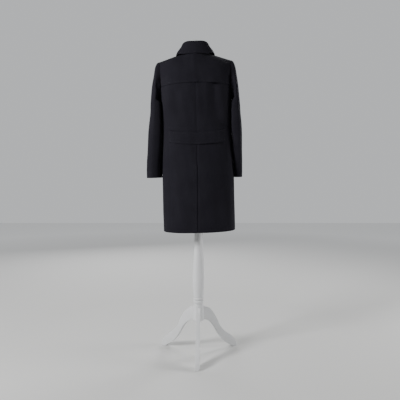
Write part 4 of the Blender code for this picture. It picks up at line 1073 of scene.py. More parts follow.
@dataclass
class BackOverlays:
    """The loose yoke flap over the upper back and the half belt at the waist."""
    shop: Workshop
    panels: BodyPanels
    stitcher: "Stitcher"
    edge_lift: float = 0.0009
    edge_below: float = 0.0023
    edge_droop: float = 0.0097
    edge_half_width: float = 0.174
    gape_reach: float = 0.040
    # Where the yoke's edge gapes: place across, width, size
    gapes: tuple = ((-0.084, 0.020, 3.4), (0.000, 0.022, 2.6), (-0.128, 0.020, 1.2), (0.045, 0.014, 0.5),
                    (0.110, 0.050, 0.35), (-0.046, 0.010, 0.45), (-0.168, 0.010, 2.0))
    belt_lift: float = 0.0016
    belt_gap: float = 0.0003
    end_gap: float = 0.0003
    belt_marks: tuple = (0.0, 0.0015, 0.004, 0.0062, 0.0075, 0.0088, 0.0112, 0.017, 0.024)
    belt_channel_reach: float = 0.0020
    corner_place: float = 0.122
    corner_reach: float = 0.020
    crown_depth: float = 0.0006
    seam_depth: float = 0.0006
    seam_reach: float = 0.0050
    stitch_inset: float = 0.0075
    channel_depth: float = 0.0005
    channel_reach: float = 0.0022

    def build(self) -> None:
        """Make the flap and the belt, and their stitching."""
        self.yoke_flap()
        self.half_belt()

    def resampled(self, first: np.ndarray, last: np.ndarray, shares: np.ndarray) -> tuple:
        """Return the back's points and normals between two places of each column.

        Args:
            first: where each column starts, as a row number with a fraction.
            last: where each column ends.
            shares: the places between, from 0 to 1.
        Returns:
            The points and the normals.
        """
        grid, line = self.panels.spanned, self.panels.spanned_normals
        place = first[None] + (last - first)[None] * shares[:, None]
        low = np.minimum(place.astype(int), len(grid) - 2)
        share = (place - low)[..., None]
        column = np.arange(grid.shape[1])[None]
        points = grid[low, column] * (1 - share) + grid[low + 1, column] * share
        return points, unit(line[low, column] * (1 - share) + line[low + 1, column] * share)

    def yoke_flap(self) -> None:
        """Make the yoke flap, whose free edge stands a little off the back."""
        grid = self.panels.spanned
        x = grid[len(self.panels.shape.heights()) - 1, :, 0]
        edge = YOKE_HEIGHT - self.edge_below - self.edge_droop * (x / self.edge_half_width) ** 2
        rows = np.arange(len(grid), dtype=float)
        first = np.array([np.interp(edge[column], grid[:, column, 2], rows) for column in range(len(x))])
        step = 1.0 / 34
        shares = np.concatenate(([0.0, 0.006, 0.016, 0.030, 0.042, 0.054, 0.068], np.arange(3, 34) * step, [1.0]))
        points, line = self.resampled(first, np.full(len(x), len(grid) - 1.05), shares)
        below = arc_lengths(points, 0)
        near = fade(below / self.gape_reach)
        uneven = sum(size * hump(x, place, width) for place, width, size in self.gapes)
        channel = self.channel_depth * hump(below, self.stitch_inset, self.channel_reach)
        lift = LAYER_GAP + CLOTH + self.edge_lift * near * uneven[None]
        raised = points + line * (lift - channel * (below > 0.004))[..., None]
        seams = "first_column last_column last_row"
        raised = edge_groove(raised, line, seams, self.seam_depth, self.seam_reach)
        self.shop.add_cloth("yoke_flap", Cloth(drawn_back(raised, seams), line))
        row = nearest(below[:, len(x) // 2], self.stitch_inset)
        self.stitcher.sew("yoke_stitching", [(raised[row, 1:-1], line[row, 1:-1])])

    def half_belt(self) -> None:
        """Make the half belt, which stands off at its upper left and its lower right edge."""
        heights = self.panels.shape.heights()
        width = BELT_TOP - BELT_BOTTOM
        marks = np.array(self.belt_marks)
        shares = np.concatenate((marks, [width / 2], width - marks[::-1])) / width
        bottom, top = (np.full(self.panels.spanned.shape[1], float(nearest(heights, height)))
                       for height in (BELT_BOTTOM, BELT_TOP))
        points, line = self.resampled(bottom, top, shares)
        x = points[..., 0]
        share = shares[:, None]
        corner = hump(x, self.corner_place, self.corner_reach)
        upper = smooth_step((share - 0.45) / 0.55) * (0.9 * smooth_step((x + 0.03) / 0.05) + 2.2 * corner)
        lower = smooth_step((0.50 - share) / 0.50) * (1.9 * smooth_step((0.01 - x) / 0.04) + 0.2)
        ends = smooth_step((BELT_HALF_WIDTH - np.abs(x)) / 0.010)
        from_edge = np.minimum(share, 1.0 - share) * width
        channel = self.channel_depth * hump(from_edge, self.stitch_inset, self.belt_channel_reach)
        crown = self.crown_depth * np.sin(share * math.pi) * ends
        lift = LAYER_GAP + CLOTH + self.belt_gap + crown + self.belt_lift * (upper + lower) * ends - channel
        raised = drawn_back(points + line * lift[..., None], "first_column last_column", self.end_gap)
        self.shop.add_cloth("half_belt", Cloth(raised, line), rests_on=("back_left_cloth", "back_right_cloth"))
        rows = [(raised[row, 2:-2], line[row, 2:-2]) for row in (4, -5)]
        rows += [(raised[4:-4, column], line[4:-4, column]) for column in (2, 9, -3, -10)]
        self.stitcher.sew("belt_stitching", rows)


@dataclass
class Sleeves:
    """The two sleeves, each with a top and an under piece."""
    shop: Workshop
    panels: BodyPanels
    stitcher: "Stitcher"
    columns: int = 96
    squareness: float = 2.2
    gap: float = 0.0004
    body_gap: float = 0.0016
    flush: float = 0.75
    flush_limit: float = 0.009
    flush_level: float = 1.475
    front_level: float = 1.556
    pocket_foot: float = 0.968
    pocket_top: float = 1.035
    right_drop: float = 0.007
    pocket_gapes: tuple = (0.0085, 0.0045)
    right_phase: float = 0.9
    ripple_depth: float = 0.0004
    seam_depth: float = 0.0009
    seam_reach: float = 0.0060
    # Creases: height, turn round the arm, width, reach round the arm, depth, slope
    folds: tuple = (
        (1.455, 2.0, 0.020, 1.0, 0.0035, 0.030), (1.400, 2.3, 0.016, 0.8, 0.0025, 0.045),
        (1.275, 2.6, 0.015, 0.9, 0.0022, -0.030), (1.232, 2.4, 0.012, 1.1, 0.0026, -0.020),
        (1.195, 2.7, 0.013, 0.8, 0.0020, 0.020), (1.060, 1.0, 0.016, 0.9, 0.0016, 0.030),
        (1.330, 0.6, 0.022, 0.8, 0.0014, 0.040), (1.120, 4.6, 0.018, 1.0, 0.0020, 0.025))

    def edge(self, name: str, hand: Side, low: float, reach: float) -> np.ndarray:
        """Return a panel's armhole edge above the yoke line, lifted to the yoke flap's level.

        Args:
            name: back or front.
            hand: the side.
            low: the height where the lift starts.
            reach: how far it takes to rise.
        Returns:
            The edge's points, going up.
        """
        key, first = f"{name}_{hand.word}", len(self.panels.shape.heights()) - 1
        points, line = self.panels.grids[key][first:, -1], self.panels.normals[key][first:, -1]
        lift = (CLOTH + LAYER_GAP) * smooth_step((points[:, 2] - low) / reach)
        return points + line * lift[:, None]

    def armhole(self, hand: Side) -> np.ndarray:
        """Return the armhole's points, from the shoulder tip by the back, the underarm and the front."""
        back = self.edge("back", hand, YOKE_HEIGHT - 0.006, 0.008)
        front = self.edge("front", hand, self.front_level, 0.020)
        under = self.panels.grids[f"side_{hand.word}"][-1]
        loop = np.concatenate((back[::-1], under[1:-1], front[:-1]))
        ring = np.concatenate((loop, loop[:1]))
        run = running_length(ring)
        even = read_path(np.linspace(0.0, run[-1], self.columns, endpoint=False), run, ring)
        even[:, 0] += hand.value * self.gap
        return even

    def rings(self, hand: Side) -> np.ndarray:
        """Return a whole sleeve's points, ring by ring from the armhole to the cuff."""
        shares = spread([0.0, 0.04, 0.16, 1.0], [5, 9, 84])
        loop = self.armhole(hand)
        angle = 2 * math.pi * np.arange(self.columns) / self.columns
        power = 2.0 / self.squareness
        along, depth = (np.sign(wave) * np.abs(wave) ** power for wave in (np.cos(angle), np.sin(angle)))
        table = read_table(SLEEVE, shares)
        other = int(hand is Side.RIGHT)
        drop = self.right_drop * other * shares
        outer = np.stack((hand.value * table[:, 2 + other], 0 * shares, table[:, 0] - drop), axis=-1)
        inner = np.stack((hand.value * table[:, 4 + other], 0 * shares, table[:, 1] - drop), axis=-1)
        middle = (outer + inner) / 2
        middle[:, 1] += (table[:, 6] + table[:, 7]) / 2
        half_depth = (table[:, 6] - table[:, 7]) / 2
        rings = (middle[:, None] + ((outer - inner) / 2)[:, None] * along[None, :, None]
                 + half_depth[:, None, None] * depth[None, :, None] * np.array((0.0, 1.0, 0.0)))
        rings = self.pressed(rings, along, hand)
        offset = (loop - rings[0])[None] * fade(shares / 0.10)[:, None, None]
        rings = rings + offset
        high = smooth_step((rings[..., 2] - self.flush_level) / 0.045)
        bulge = np.maximum(rings[..., 1] - loop[None, :, 1], 0.0) * high
        near = fade((shares - 0.10) / 0.14)
        rings[..., 1] -= np.minimum(bulge * self.flush, self.flush_limit) * near[:, None]
        return rings

    def pressed(self, rings: np.ndarray, along: np.ndarray, hand: Side) -> np.ndarray:
        """Return a sleeve whose inner wall lies along the body.

        Args:
            rings: the sleeve's points.
            along: how far each column stands out from the ring's middle, from -1, innermost, to 1.
            hand: the side.
        Returns:
            The moved points.
        """
        x, y, z = rings[..., 0] * hand.value, rings[..., 1], rings[..., 2]
        body = self.panels.shape.side_reach(y, z)
        top = self.pocket_top + np.clip((0.010 - y) / 0.060, 0.0, 1.0) * 0.085
        level = smooth_step((z - self.pocket_foot) / 0.020) * smooth_step((top - z) / 0.014)
        pocket = level * smooth_step((0.025 - y) / 0.02)
        gap = self.body_gap + pocket * self.pocket_gapes[int(hand is Side.RIGHT)]
        inner = x[:, self.columns // 2][:, None]
        weight = smooth_step(-along / 0.75)[None] * smooth_step((UNDERARM_HEIGHT - 0.002 - z) / 0.022)
        result = rings.copy()
        result[..., 0] += hand.value * weight * (body + gap - inner)
        return result

    def creases(self, rings: np.ndarray, hand: Side) -> np.ndarray:
        """Return how far the sleeve's soft creases move each point inward."""
        angle = 2 * math.pi * np.arange(self.columns) / self.columns
        z = rings[..., 2]
        total = np.zeros(z.shape)
        side_phase = self.right_phase * int(hand is Side.RIGHT)
        for height, turn, width, reach, depth, slope in self.folds:
            turned = (angle - turn - side_phase * 0.2 + math.pi) % (2 * math.pi) - math.pi
            line = height + slope * turned[None] - 0.012 * side_phase
            total += depth * (hump(z, line, width) * hump(turned[None], 0.0, reach))
        start = smooth_step(np.linspace(0, 1, len(rings)) / 0.12)[:, None]
        ripple = self.ripple_depth * np.sin(angle * 5 + 1.0)[None] * np.sin(z * 24.0 + side_phase)
        return (total + ripple) * start

    def build(self) -> None:
        """Make both sleeves' pieces."""
        for hand in Side:
            rings = self.rings(hand)
            flip = hand is Side.RIGHT
            normals = grid_normals(rings, flip, closed=True)
            rings = rings - normals * self.creases(rings, hand)[..., None]
            normals = grid_normals(rings, flip, closed=True)
            start, end = self.columns // 3, 2 * self.columns // 3
            picks = {"under_sleeve": np.arange(start, end + 1),
                     "top_sleeve": np.arange(end, self.columns + start + 1) % self.columns}
            for name, pick in picks.items():
                key = f"{name}_{hand.word}"
                grid, line = rings[:, pick], normals[:, pick]
                grid = edge_groove(grid, line, "first_column last_column", self.seam_depth, self.seam_reach)
                self.shop.add_cloth(key, Cloth(drawn_back(grid, "first_column last_column"), line))
            self.stitcher.sew(f"cuff_stitching_{hand.word}", [(rings[-7], normals[-7])])


@dataclass
class Collar:
    """The collar's stand and its turned-down fall."""
    shop: Workshop
    stitcher: "Stitcher"
    shift: float = -0.0045
    seam_gap: float = 0.0011
    swell_depth: float = 0.0011
    stand_swell: float = 0.0020
    # The turned edge: steps out and up from the fold
    turn: tuple = ((-0.0012, 0.0026), (-0.0002, 0.0044), (0.0020, 0.0055), (0.0044, 0.0051), (0.0062, 0.0036),
                   (0.0076, 0.0010))

    def half(self, hand: Side) -> tuple:
        """Return the stand's and the fall's points on one side, column by column from the back."""
        places = np.linspace(0.0, 1.0 - 0.0333 * (1.0 - SIDE_NECK_PLACE), 64)
        station = read_table(COLLAR, places)
        base = neckline(places) + np.array((0.0, 0.0, self.seam_gap))
        outward = unit(np.stack((base[:, 0], base[:, 1] - NECK_SIDE, 0 * places), axis=-1))
        shift = hand.value * self.shift * (1.0 - places)
        fold = base + outward * station[:, :1]
        fold[:, 2] = station[:, 1]
        fold[:, 0] += shift
        steps = np.linspace(0.0, 1.0, 7)[:, None, None]
        stand = base[None] * (1 - steps) + fold[None] * steps
        stand += outward[None] * self.stand_swell * steps * (1 - steps)
        rise = np.array((0.0, 0.0, 1.0))
        edge = np.stack((station[:, 2] + shift, station[:, 3], station[:, 4]), axis=-1)
        turn = [fold + outward * out + rise * up for out, up in self.turn]
        start = fold + outward * 0.0085 - rise * 0.003
        bulge = station[:, 5:6]
        control = (start + edge) / 2 + unit(outward + rise * 0.6) * bulge * 2
        share = np.linspace(0.0, 1.0, 22)[:, None, None]
        curve = start * (1 - share) ** 2 + control * 2 * share * (1 - share) + edge * share ** 2
        fall = np.concatenate((np.array(turn), curve))
        return mirrored(stand, hand), mirrored(fall, hand)

    def build(self) -> None:
        """Make the stand and the fall."""
        halves = [self.half(hand) for hand in Side]
        for index, key in enumerate(("collar_stand", "collar_fall")):
            left, right = halves[0][index], halves[1][index]
            grid = np.concatenate((left[:, ::-1], right[:, 1:]), axis=1)
            if key == "collar_fall":
                around = np.linspace(-1.0, 1.0, grid.shape[1])[None]
                down = np.linspace(0.0, 1.0, grid.shape[0])[:, None]
                swell = self.swell_depth * np.sin(around * 9.0 + 0.6) * smooth_step(down) * np.sin(down * 3.0)
                grid = grid + grid_normals(grid, False) * swell[..., None]
            normals = grid_normals(grid, False)
            self.shop.add_cloth(key, Cloth(grid, normals), "folded")
        self.stitcher.sew("collar_stitching", [(grid[-4, 2:-2], normals[-4, 2:-2])])


@dataclass
class Stitcher:
    """Rows of sewing thread laid on the cloth as small separate stitches."""
    shop: Workshop
    pitch: float = 0.0034
    length: float = 0.0026
    radius: float = 0.00030
    sides: int = 5
    sunk: float = 0.00010
    end_sunk: float = 0.00022
    tip_sunk: float = 0.0004
    # A stitch's rings: place along it and size
    sections: tuple = ((-0.42, 0.55), (0.0, 1.0), (0.42, 0.55))

    def sew(self, name: str, paths: list) -> None:
        """Make one piece of all the stitches along some paths.

        Args:
            name: the piece's name.
            paths: pairs of the points along a row and the surface's normals there.
        """
        points, faces = [], []
        for path, normals in paths:
            self.lay(path, normals, points, faces)
        self.shop.add(name, np.concatenate(points), faces, ThreadFinish, "coat_cloth", ())

    def lay(self, path: np.ndarray, normals: np.ndarray, points: list, faces: list) -> None:
        """Add the stitches of one row.

        Args:
            path: points along the row.
            normals: the surface's normals there.
            points: the points so far, as arrays, to add to.
            faces: the faces so far, to add to.
        """
        run = running_length(path)
        count = max(1, int(run[-1] / self.pitch))
        centres = (np.arange(count) + 0.5) * run[-1] / count
        place = read_path(centres, run, path)
        up = unit(read_path(centres, run, normals))
        along = unit(read_path(centres + 0.001, run, path) - read_path(centres - 0.001, run, path))
        across = unit(np.cross(along, up))
        start = sum(len(part) for part in points)
        rings = []
        for offset, size in self.sections:
            middle = place + along * (offset * self.length) - up * (self.sunk + self.end_sunk * (1.0 - size))
            rings.append(circles(middle, across, up, self.radius * size, self.sides))
        tips = [(place + along * (end * 0.5 * self.length) - up * self.tip_sunk)[:, None] for end in (-1, 1)]
        block = np.concatenate((*rings, *tips), axis=1)
        each = 3 * self.sides + 2
        for stitch in range(count):
            base = start + stitch * each
            for turn in range(self.sides):
                after = (turn + 1) % self.sides
                for ring in (0, 1):
                    low = base + ring * self.sides
                    faces.append((low + turn, low + after, low + self.sides + after, low + self.sides + turn))
                faces.append((base + 3 * self.sides, base + after, base + turn))
                last = base + 2 * self.sides
                faces.append((base + 3 * self.sides + 1, last + turn, last + after))
        points.append(block.reshape(-1, 3))


@dataclass
class PocketWelts:
    """The slanted pocket welts on the side panels."""
    shop: Workshop
    shape: CoatShape
    stitcher: Stitcher
    width: float = 0.030
    lift: float = 0.0007
    gap: float = 0.0006
    foot: float = 0.988
    head: float = 1.106
    slant: float = 0.75
    place_slant: float = 2.6
    # Side, the places of the lower and the upper end on the side panel, and how far the upper edge gapes
    ends: tuple = ((Side.LEFT, 0.44, 0.86, 0.0050), (Side.RIGHT, 0.48, 0.88, 0.0010))

    def build(self) -> None:
        """Make both welts and their stitching."""
        rows = []
        share = np.linspace(0.0, 1.0, 33)[None]
        across = np.linspace(-0.5, 0.5, 11)[:, None] * self.width
        height = self.foot + (self.head - self.foot) * share + across * self.slant
        for hand, low_place, high_place, gape in self.ends:
            place = low_place + (high_place - low_place) * share - across * self.place_slant
            grid = mirrored(self.shape.side_surface(place, height), hand)
            flip = hand is Side.RIGHT
            push = gape * smooth_step(1.0 - share) * (across / self.width + 0.5) + self.lift + CLOTH + self.gap
            grid = grid + grid_normals(grid, flip) * push[..., None]
            normals = grid_normals(grid, flip)
            self.shop.add_cloth(f"pocket_welt_{hand.word}", Cloth(grid, normals), "folded")
            rows.append((grid[8], normals[8]))
            rows += [(grid[1:-1, column], normals[1:-1, column]) for column in (1, -2)]
        self.stitcher.sew("pocket_stitching", rows)


@dataclass
class Buttons:
    """The four buttons, with a rim, four holes and thread, and their worked buttonholes."""
    shop: Workshop
    panels: BodyPanels
    heights: tuple = (1.420, 1.290, 1.160, 1.030)
    radius: float = 0.014
    thickness: float = 0.0045
    gap: float = 0.0004
    hole_spread: float = 0.0026
    hole_radius: float = 0.0011
    diagonal: float = 0.7071
    slit_middle: float = -0.0125
    slit_reach: float = 0.0155
    slit_width: float = 0.0012
    face_dip: float = 0.0018
    thread_radius: float = 0.00030
    thread_step: float = 0.00045

    def blank(self) -> bpy.types.Mesh:
        """Return a button's mesh about the Z axis, its back at zero height."""
        top, radius = self.thickness, self.radius
        profile = ((0.0, 0.0), (radius - 0.0022, 0.0), (radius - 0.0008, 0.0006), (radius - 0.0001, 0.0018),
                   (radius, 0.0026), (radius - 0.0003, top - 0.0006), (radius - 0.0012, top),
                   (radius - 0.0026, top - 0.0002), (radius - 0.0038, top - 0.0012), (0.0068, top - 0.0017),
                   (0.0040, top - 0.0018), (0.0, top - 0.0018))
        points, faces = turned_mesh([(height, r) for r, height in profile], 48)
        blank = placed("button_blank", new_mesh("button_blank", points, faces))
        drills = []
        for turn in range(4):
            angle = math.pi / 4 + turn * math.pi / 2
            place = (self.hole_spread * math.cos(angle), self.hole_spread * math.sin(angle), top / 2)
            pegs, sides = turned_mesh([(-0.004, 0.0), (-0.004, self.hole_radius), (0.004, self.hole_radius),
                                       (0.004, 0.0)], 12)
            drill = placed("drill", new_mesh("drill", [Vector(point) + Vector(place) for point in pegs], sides))
            cut = blank.modifiers.new("hole", "BOOLEAN")
            cut.object = drill
            cut.operation = "DIFFERENCE"
            cut.solver = "EXACT"
            drills.append(drill)
        evaluated = blank.evaluated_get(bpy.context.evaluated_depsgraph_get())
        result = bpy.data.meshes.new_from_object(evaluated)
        for item in (*drills, blank):
            bpy.data.objects.remove(item)
        return result

    def build(self) -> None:
        """Make every button, its thread and its buttonhole."""
        grid = self.panels.laid["front_right"]
        line = grid[:, nearest(grid[0, :, 0], 0.0)]
        blank = self.blank()
        points = np.array([vertex.co for vertex in blank.vertices])
        faces = [tuple(face.vertices) for face in blank.polygons]
        threads, thread_faces = [], []
        for number, height in enumerate(self.heights, start=1):
            place = read_path(height, line[:, 2], line)
            slope = unit(read_path(height + 0.01, line[:, 2], line) - place)
            facing = Vector((0.0, -slope[2], slope[1])).normalized()
            turn = (Matrix.Translation(Vector(place) + facing * self.gap)
                    @ Vector((0.0, 0.0, 1.0)).rotation_difference(facing).to_matrix().to_4x4())
            move = np.array(turn)
            moved = points @ move[:3, :3].T + move[:3, 3]
            self.shop.add(f"button_{number}_turned", moved, faces, ButtonFinish, "horn_button",
                          (f"button_{number}",), sharp=38.0)
            hole = self.hole_spread * self.diagonal
            for side in (-hole, hole):
                for sideways in (-self.thread_step, 0.0, self.thread_step):
                    path = self.thread_path(side, hole, sideways)
                    add_tube(path @ move[:3, :3].T + move[:3, 3], self.thread_radius, 6, threads, thread_faces)
        self.shop.add("button_thread", np.concatenate(threads), thread_faces, ThreadFinish, "coat_cloth", ())
        bpy.data.meshes.remove(blank)
        self.buttonholes()

    def buttonholes(self) -> None:
        """Make the corded edge of each buttonhole, which runs from under its button away from the front edge."""
        grid, normals = self.panels.laid["front_right"], self.panels.normals["front_right"]
        column = grid[:, nearest(grid[0, :, 0], 0.0), 2]
        turns = np.linspace(0.0, 2 * math.pi, 61)
        across = self.slit_middle + self.slit_reach * np.clip(1.12 * np.cos(turns), -1.0, 1.0)
        paths = []
        for height in self.heights:
            rows = np.interp(height + self.slit_width * np.sin(turns), column, np.arange(len(column)))
            found = [self.on_row(source, grid, row, x)
                     for source in (grid, normals) for row, x in zip(rows, across, strict=True)]
            paths.append((np.array(found[:len(turns)]), unit(np.array(found[len(turns):]))))
        Stitcher(self.shop, pitch=0.0011, length=0.0013, radius=0.00050).sew("buttonhole_stitching", paths)

    def on_row(self, source: np.ndarray, grid: np.ndarray, row: float, x: float) -> list:
        """Return a grid's value on a row, which may lie between two rows, at one place across it."""
        low = int(row)
        share = row - low
        places = grid[low, :, 0] * (1.0 - share) + grid[low + 1, :, 0] * share
        values = source[low] * (1.0 - share) + source[low + 1] * share
        order = np.argsort(places)
        return [float(np.interp(x, places[order], values[order, axis])) for axis in range(3)]

    def thread_path(self, x: float, hole: float, sideways: float) -> np.ndarray:
        """Return a thread's path from one hole over the button's face into another.

        Args:
            x: the two holes' place across the button.
            hole: how far each lies from its middle along the thread.
            sideways: the thread's place beside its neighbours.
        Returns:
            The path's points.
        """
        face = self.thickness - self.face_dip
        half = [(x + sideways * 0.5, -hole, face - 0.0024), (x + sideways * 0.8, -hole + 0.0002, face),
                (x + sideways, -hole + 0.0010, face + 0.0005)]
        other = [(across, -along, height) for across, along, height in half[::-1]]
        return np.array((*half, (x + sideways, 0.0, face + 0.0007), *other))


def turned_mesh(profile: list, steps: int) -> tuple:
    """Return the points and faces of a shape turned about the Z axis.

    Args:
        profile: heights and radii, from one end of the axis to the other.
        steps: how many sides it has.
    Returns:
        The points and the faces.
    """
    points, faces, rings = [], [], []
    for height, radius in profile:
        if radius < 1e-9:
            rings.append([len(points)])
            points.append((0.0, 0.0, height))
            continue
        rings.append(list(range(len(points), len(points) + steps)))
        for step in range(steps):
            angle = 2 * math.pi * step / steps
            points.append((radius * math.cos(angle), radius * math.sin(angle), height))
    for low, high in zip(rings, rings[1:]):
        for step in range(steps):
            after = (step + 1) % steps
            loop = [low[step % len(low)], low[after % len(low)], high[after % len(high)], high[step % len(high)]]
            loop = list(dict.fromkeys(loop))
            if len(loop) > 2:
                faces.append(tuple(loop))
    rising = sum((b[0] - a[0]) * (a[1] + b[1]) for a, b in zip(profile, profile[1:]))
    if rising < 0:
        faces = [face[::-1] for face in faces]
    return points, faces


def add_tube(path: np.ndarray, radius: float, sides: int, points: list, faces: list) -> None:
    """Add a closed round tube along a path.

    Args:
        path: the points along its middle.
        radius: its radius.
        sides: how many sides it has.
        points: arrays of points so far, to add to.
        faces: the faces so far, to add to.
    """
    along = unit(np.gradient(path, axis=0))
    across = unit(np.cross(along, np.array((0.31, 0.83, 0.47))))
    start = sum(len(part) for part in points)
    faces.extend(ring_faces(start, len(path), sides))
    end = start + (len(path) - 1) * sides
    faces += [tuple(range(start, start + sides))[::-1], tuple(range(end, end + sides))]
    points.append(circles(path, across, np.cross(along, across), radius, sides).reshape(-1, 3))


@dataclass
class DressForm:
    """The limbless form under the coat, covered with jersey, and its painted neck cap."""
    shop: Workshop
    panels: BodyPanels
    base: float = 0.900
    inset: float = 0.0014
    low_inset: float = 0.012
    neck_inset: float = 0.003
    shoulder_inset: float = 0.011
    joint_swell: float = 0.010
    rounding: tuple = (0.975, 0.96, 1.0)
    rim_height: float = 0.004
    neck_radius: float = 0.052
    neck_y: float = 0.004
    neck_foot: float = 1.640
    neck_top: float = 1.656
    cap_radius: float = 0.0485
    cap_top: float = 1.6882

    def upper_rings(self) -> list:
        """Return the rings from the yoke line to the shoulders, just inside the coat's cloth."""
        first = len(self.panels.shape.heights()) - 1
        middle = nearest(self.panels.grids["front_left"][first, :, 0], 0.0)
        panels = [[source[key][first:, start:] for source in (self.panels.grids, self.panels.normals)]
                  for key, start in (("back_left", 0), ("front_left", middle))]
        count = len(panels[0][0])
        rings = []
        for step in range(count):
            rise = step / (count - 1)
            inset = CLOTH + self.inset + self.low_inset * (1.0 - rise) ** 1.5
            halves = []
            for grid, line in panels:
                points = grid[step].copy()
                near_neck = smooth_step((NECK_HALF_WIDTH + 0.022 - points[:, 0]) / 0.03)
                points -= line[step] * (inset + self.neck_inset * near_neck)[:, None]
                points[:, 0] -= self.shoulder_inset * smooth_step((grid[step][:, 0] - 0.12) / 0.067)
                points[0, 0] = 0.0
                halves.append(points)
            share = np.linspace(0.0, 1.0, 9)[1:-1, None]
            joint = halves[0][-1] + (halves[1][-1] - halves[0][-1]) * share
            joint[:, 0] += self.joint_swell * np.sin(share[:, 0] * math.pi) * (1.0 - rise)
            left = np.concatenate((halves[0], joint, halves[1][::-1]))
            rings.append(np.concatenate((left, mirrored(left[-2:0:-1], Side.RIGHT))))
        return rings

    def build(self) -> None:
        """Make the form and its cap."""
        upper = self.upper_rings()
        angle = np.arctan2(upper[0][:, 1], upper[0][:, 0])
        rings = []
        for height in np.linspace(self.base, UNDERARM_HEIGHT, 34):
            section = read_table(FORM, height)
            depth = np.where(upper[0][:, 1] > 0, section[1], section[2])
            reach = ((np.abs(np.cos(angle)) / section[0]) ** section[3]
                     + (np.abs(np.sin(angle)) / depth) ** section[3]) ** (-1 / section[3])
            rings.append(np.stack((reach * np.cos(angle), reach * np.sin(angle), 0 * angle + height), axis=-1))
        rounded = rings[0] * np.array(self.rounding)
        rings[0] = rings[0] + np.array((0.0, 0.0, self.rim_height))
        top = rings[-1]
        rings += [top * (1 - share) + upper[0] * share for share in np.linspace(0.0, 1.0, 7)[1:-1]]
        rings = [rounded, *rings, *upper]
        count = len(rings[0])
        points = np.concatenate(rings)
        faces = [face[::-1] for face in ring_faces(0, len(rings), count)]
        faces.append(tuple(range(count)))
        neck, neck_faces = self.neck(rings[-1], len(points))
        faces += neck_faces
        piece = self.shop.add("dress_form_jersey", np.concatenate((points, neck)), faces, JerseyFinish,
                              "form_cover", ("dress_form",))
        weld(piece)
        self.cap()

    def neck(self, ring: np.ndarray, start: int) -> tuple:
        """Return the neck's points and faces above the form's last ring.

        Args:
            ring: the form's last ring.
            start: how many points come before.
        Returns:
            The points and the faces.
        """
        pick = np.nonzero(np.abs(ring[:, 0]) < NECK_HALF_WIDTH - 0.0006)[0]
        angle = np.arctan2(ring[pick, 1] - self.neck_y, ring[pick, 0])
        order = np.argsort(angle)
        base = ring[pick][order]
        angle = angle[order]
        circle = np.stack((self.neck_radius * np.cos(angle), self.neck_y + self.neck_radius * np.sin(angle),
                           0 * angle + self.neck_foot), axis=-1)
        rings = []
        for share in np.linspace(0.0, 1.0, 10):
            inward = math.sin(share * math.pi / 2)
            rise = 1.0 - math.cos(share * math.pi / 2)
            rings.append(base + (circle - base) * np.array((inward, inward, 0.35 * share + 0.65 * rise)))
        centre = np.array((0.0, self.neck_y))
        for height, size in ((self.neck_top - 0.001, 1.0), (self.neck_top, 0.985)):
            top = rings[9].copy()
            top[:, 2] = height
            if size < 1.0:
                top[:, :2] = (top[:, :2] - centre) * size + centre
            rings.append(top)
        count = len(base)
        faces = ring_faces(start, len(rings), count)
        end = start + (len(rings) - 1) * count
        faces.append(tuple(range(end, end + count)))
        return np.concatenate(rings), faces

    def cap(self) -> None:
        """Make the neck cap."""
        low = self.neck_top + 0.0003
        shoulder = low + 0.004
        profile = [(low, 0.0), (low, self.cap_radius - 0.0012), (low + 0.0012, self.cap_radius),
                   (shoulder, self.cap_radius)]
        for step in range(1, 21):
            angle = math.pi / 2 * (1 - step / 20)
            profile.append((shoulder + (self.cap_top - shoulder) * math.cos(angle),
                            self.cap_radius * math.sin(angle)))
        profile[-1] = (profile[-1][0], 0.0)
        points, faces = turned_mesh(profile, 72)
        place = np.array(points) + np.array((0.0, self.neck_y, 0.0))
        self.shop.add("neck_cap_turned", place, faces, PaintFinish, "white_paint", ("neck_cap",), sharp=40.0)


def weld(piece: bpy.types.Object, distance: float = 0.00002) -> None:
    """Merge a piece's points that lie on each other, and turn its faces outward.

    Args:
        piece: the piece.
        distance: how near two points have to be.
    """
    shape = bmesh.new()
    shape.from_mesh(piece.data)
    bmesh.ops.remove_doubles(shape, verts=shape.verts, dist=distance)
    bmesh.ops.dissolve_degenerate(shape, edges=shape.edges, dist=distance)
    bmesh.ops.recalc_face_normals(shape, faces=shape.faces)
    for face in shape.faces:
        face.smooth = True
    shape.to_mesh(piece.data)
    shape.free()


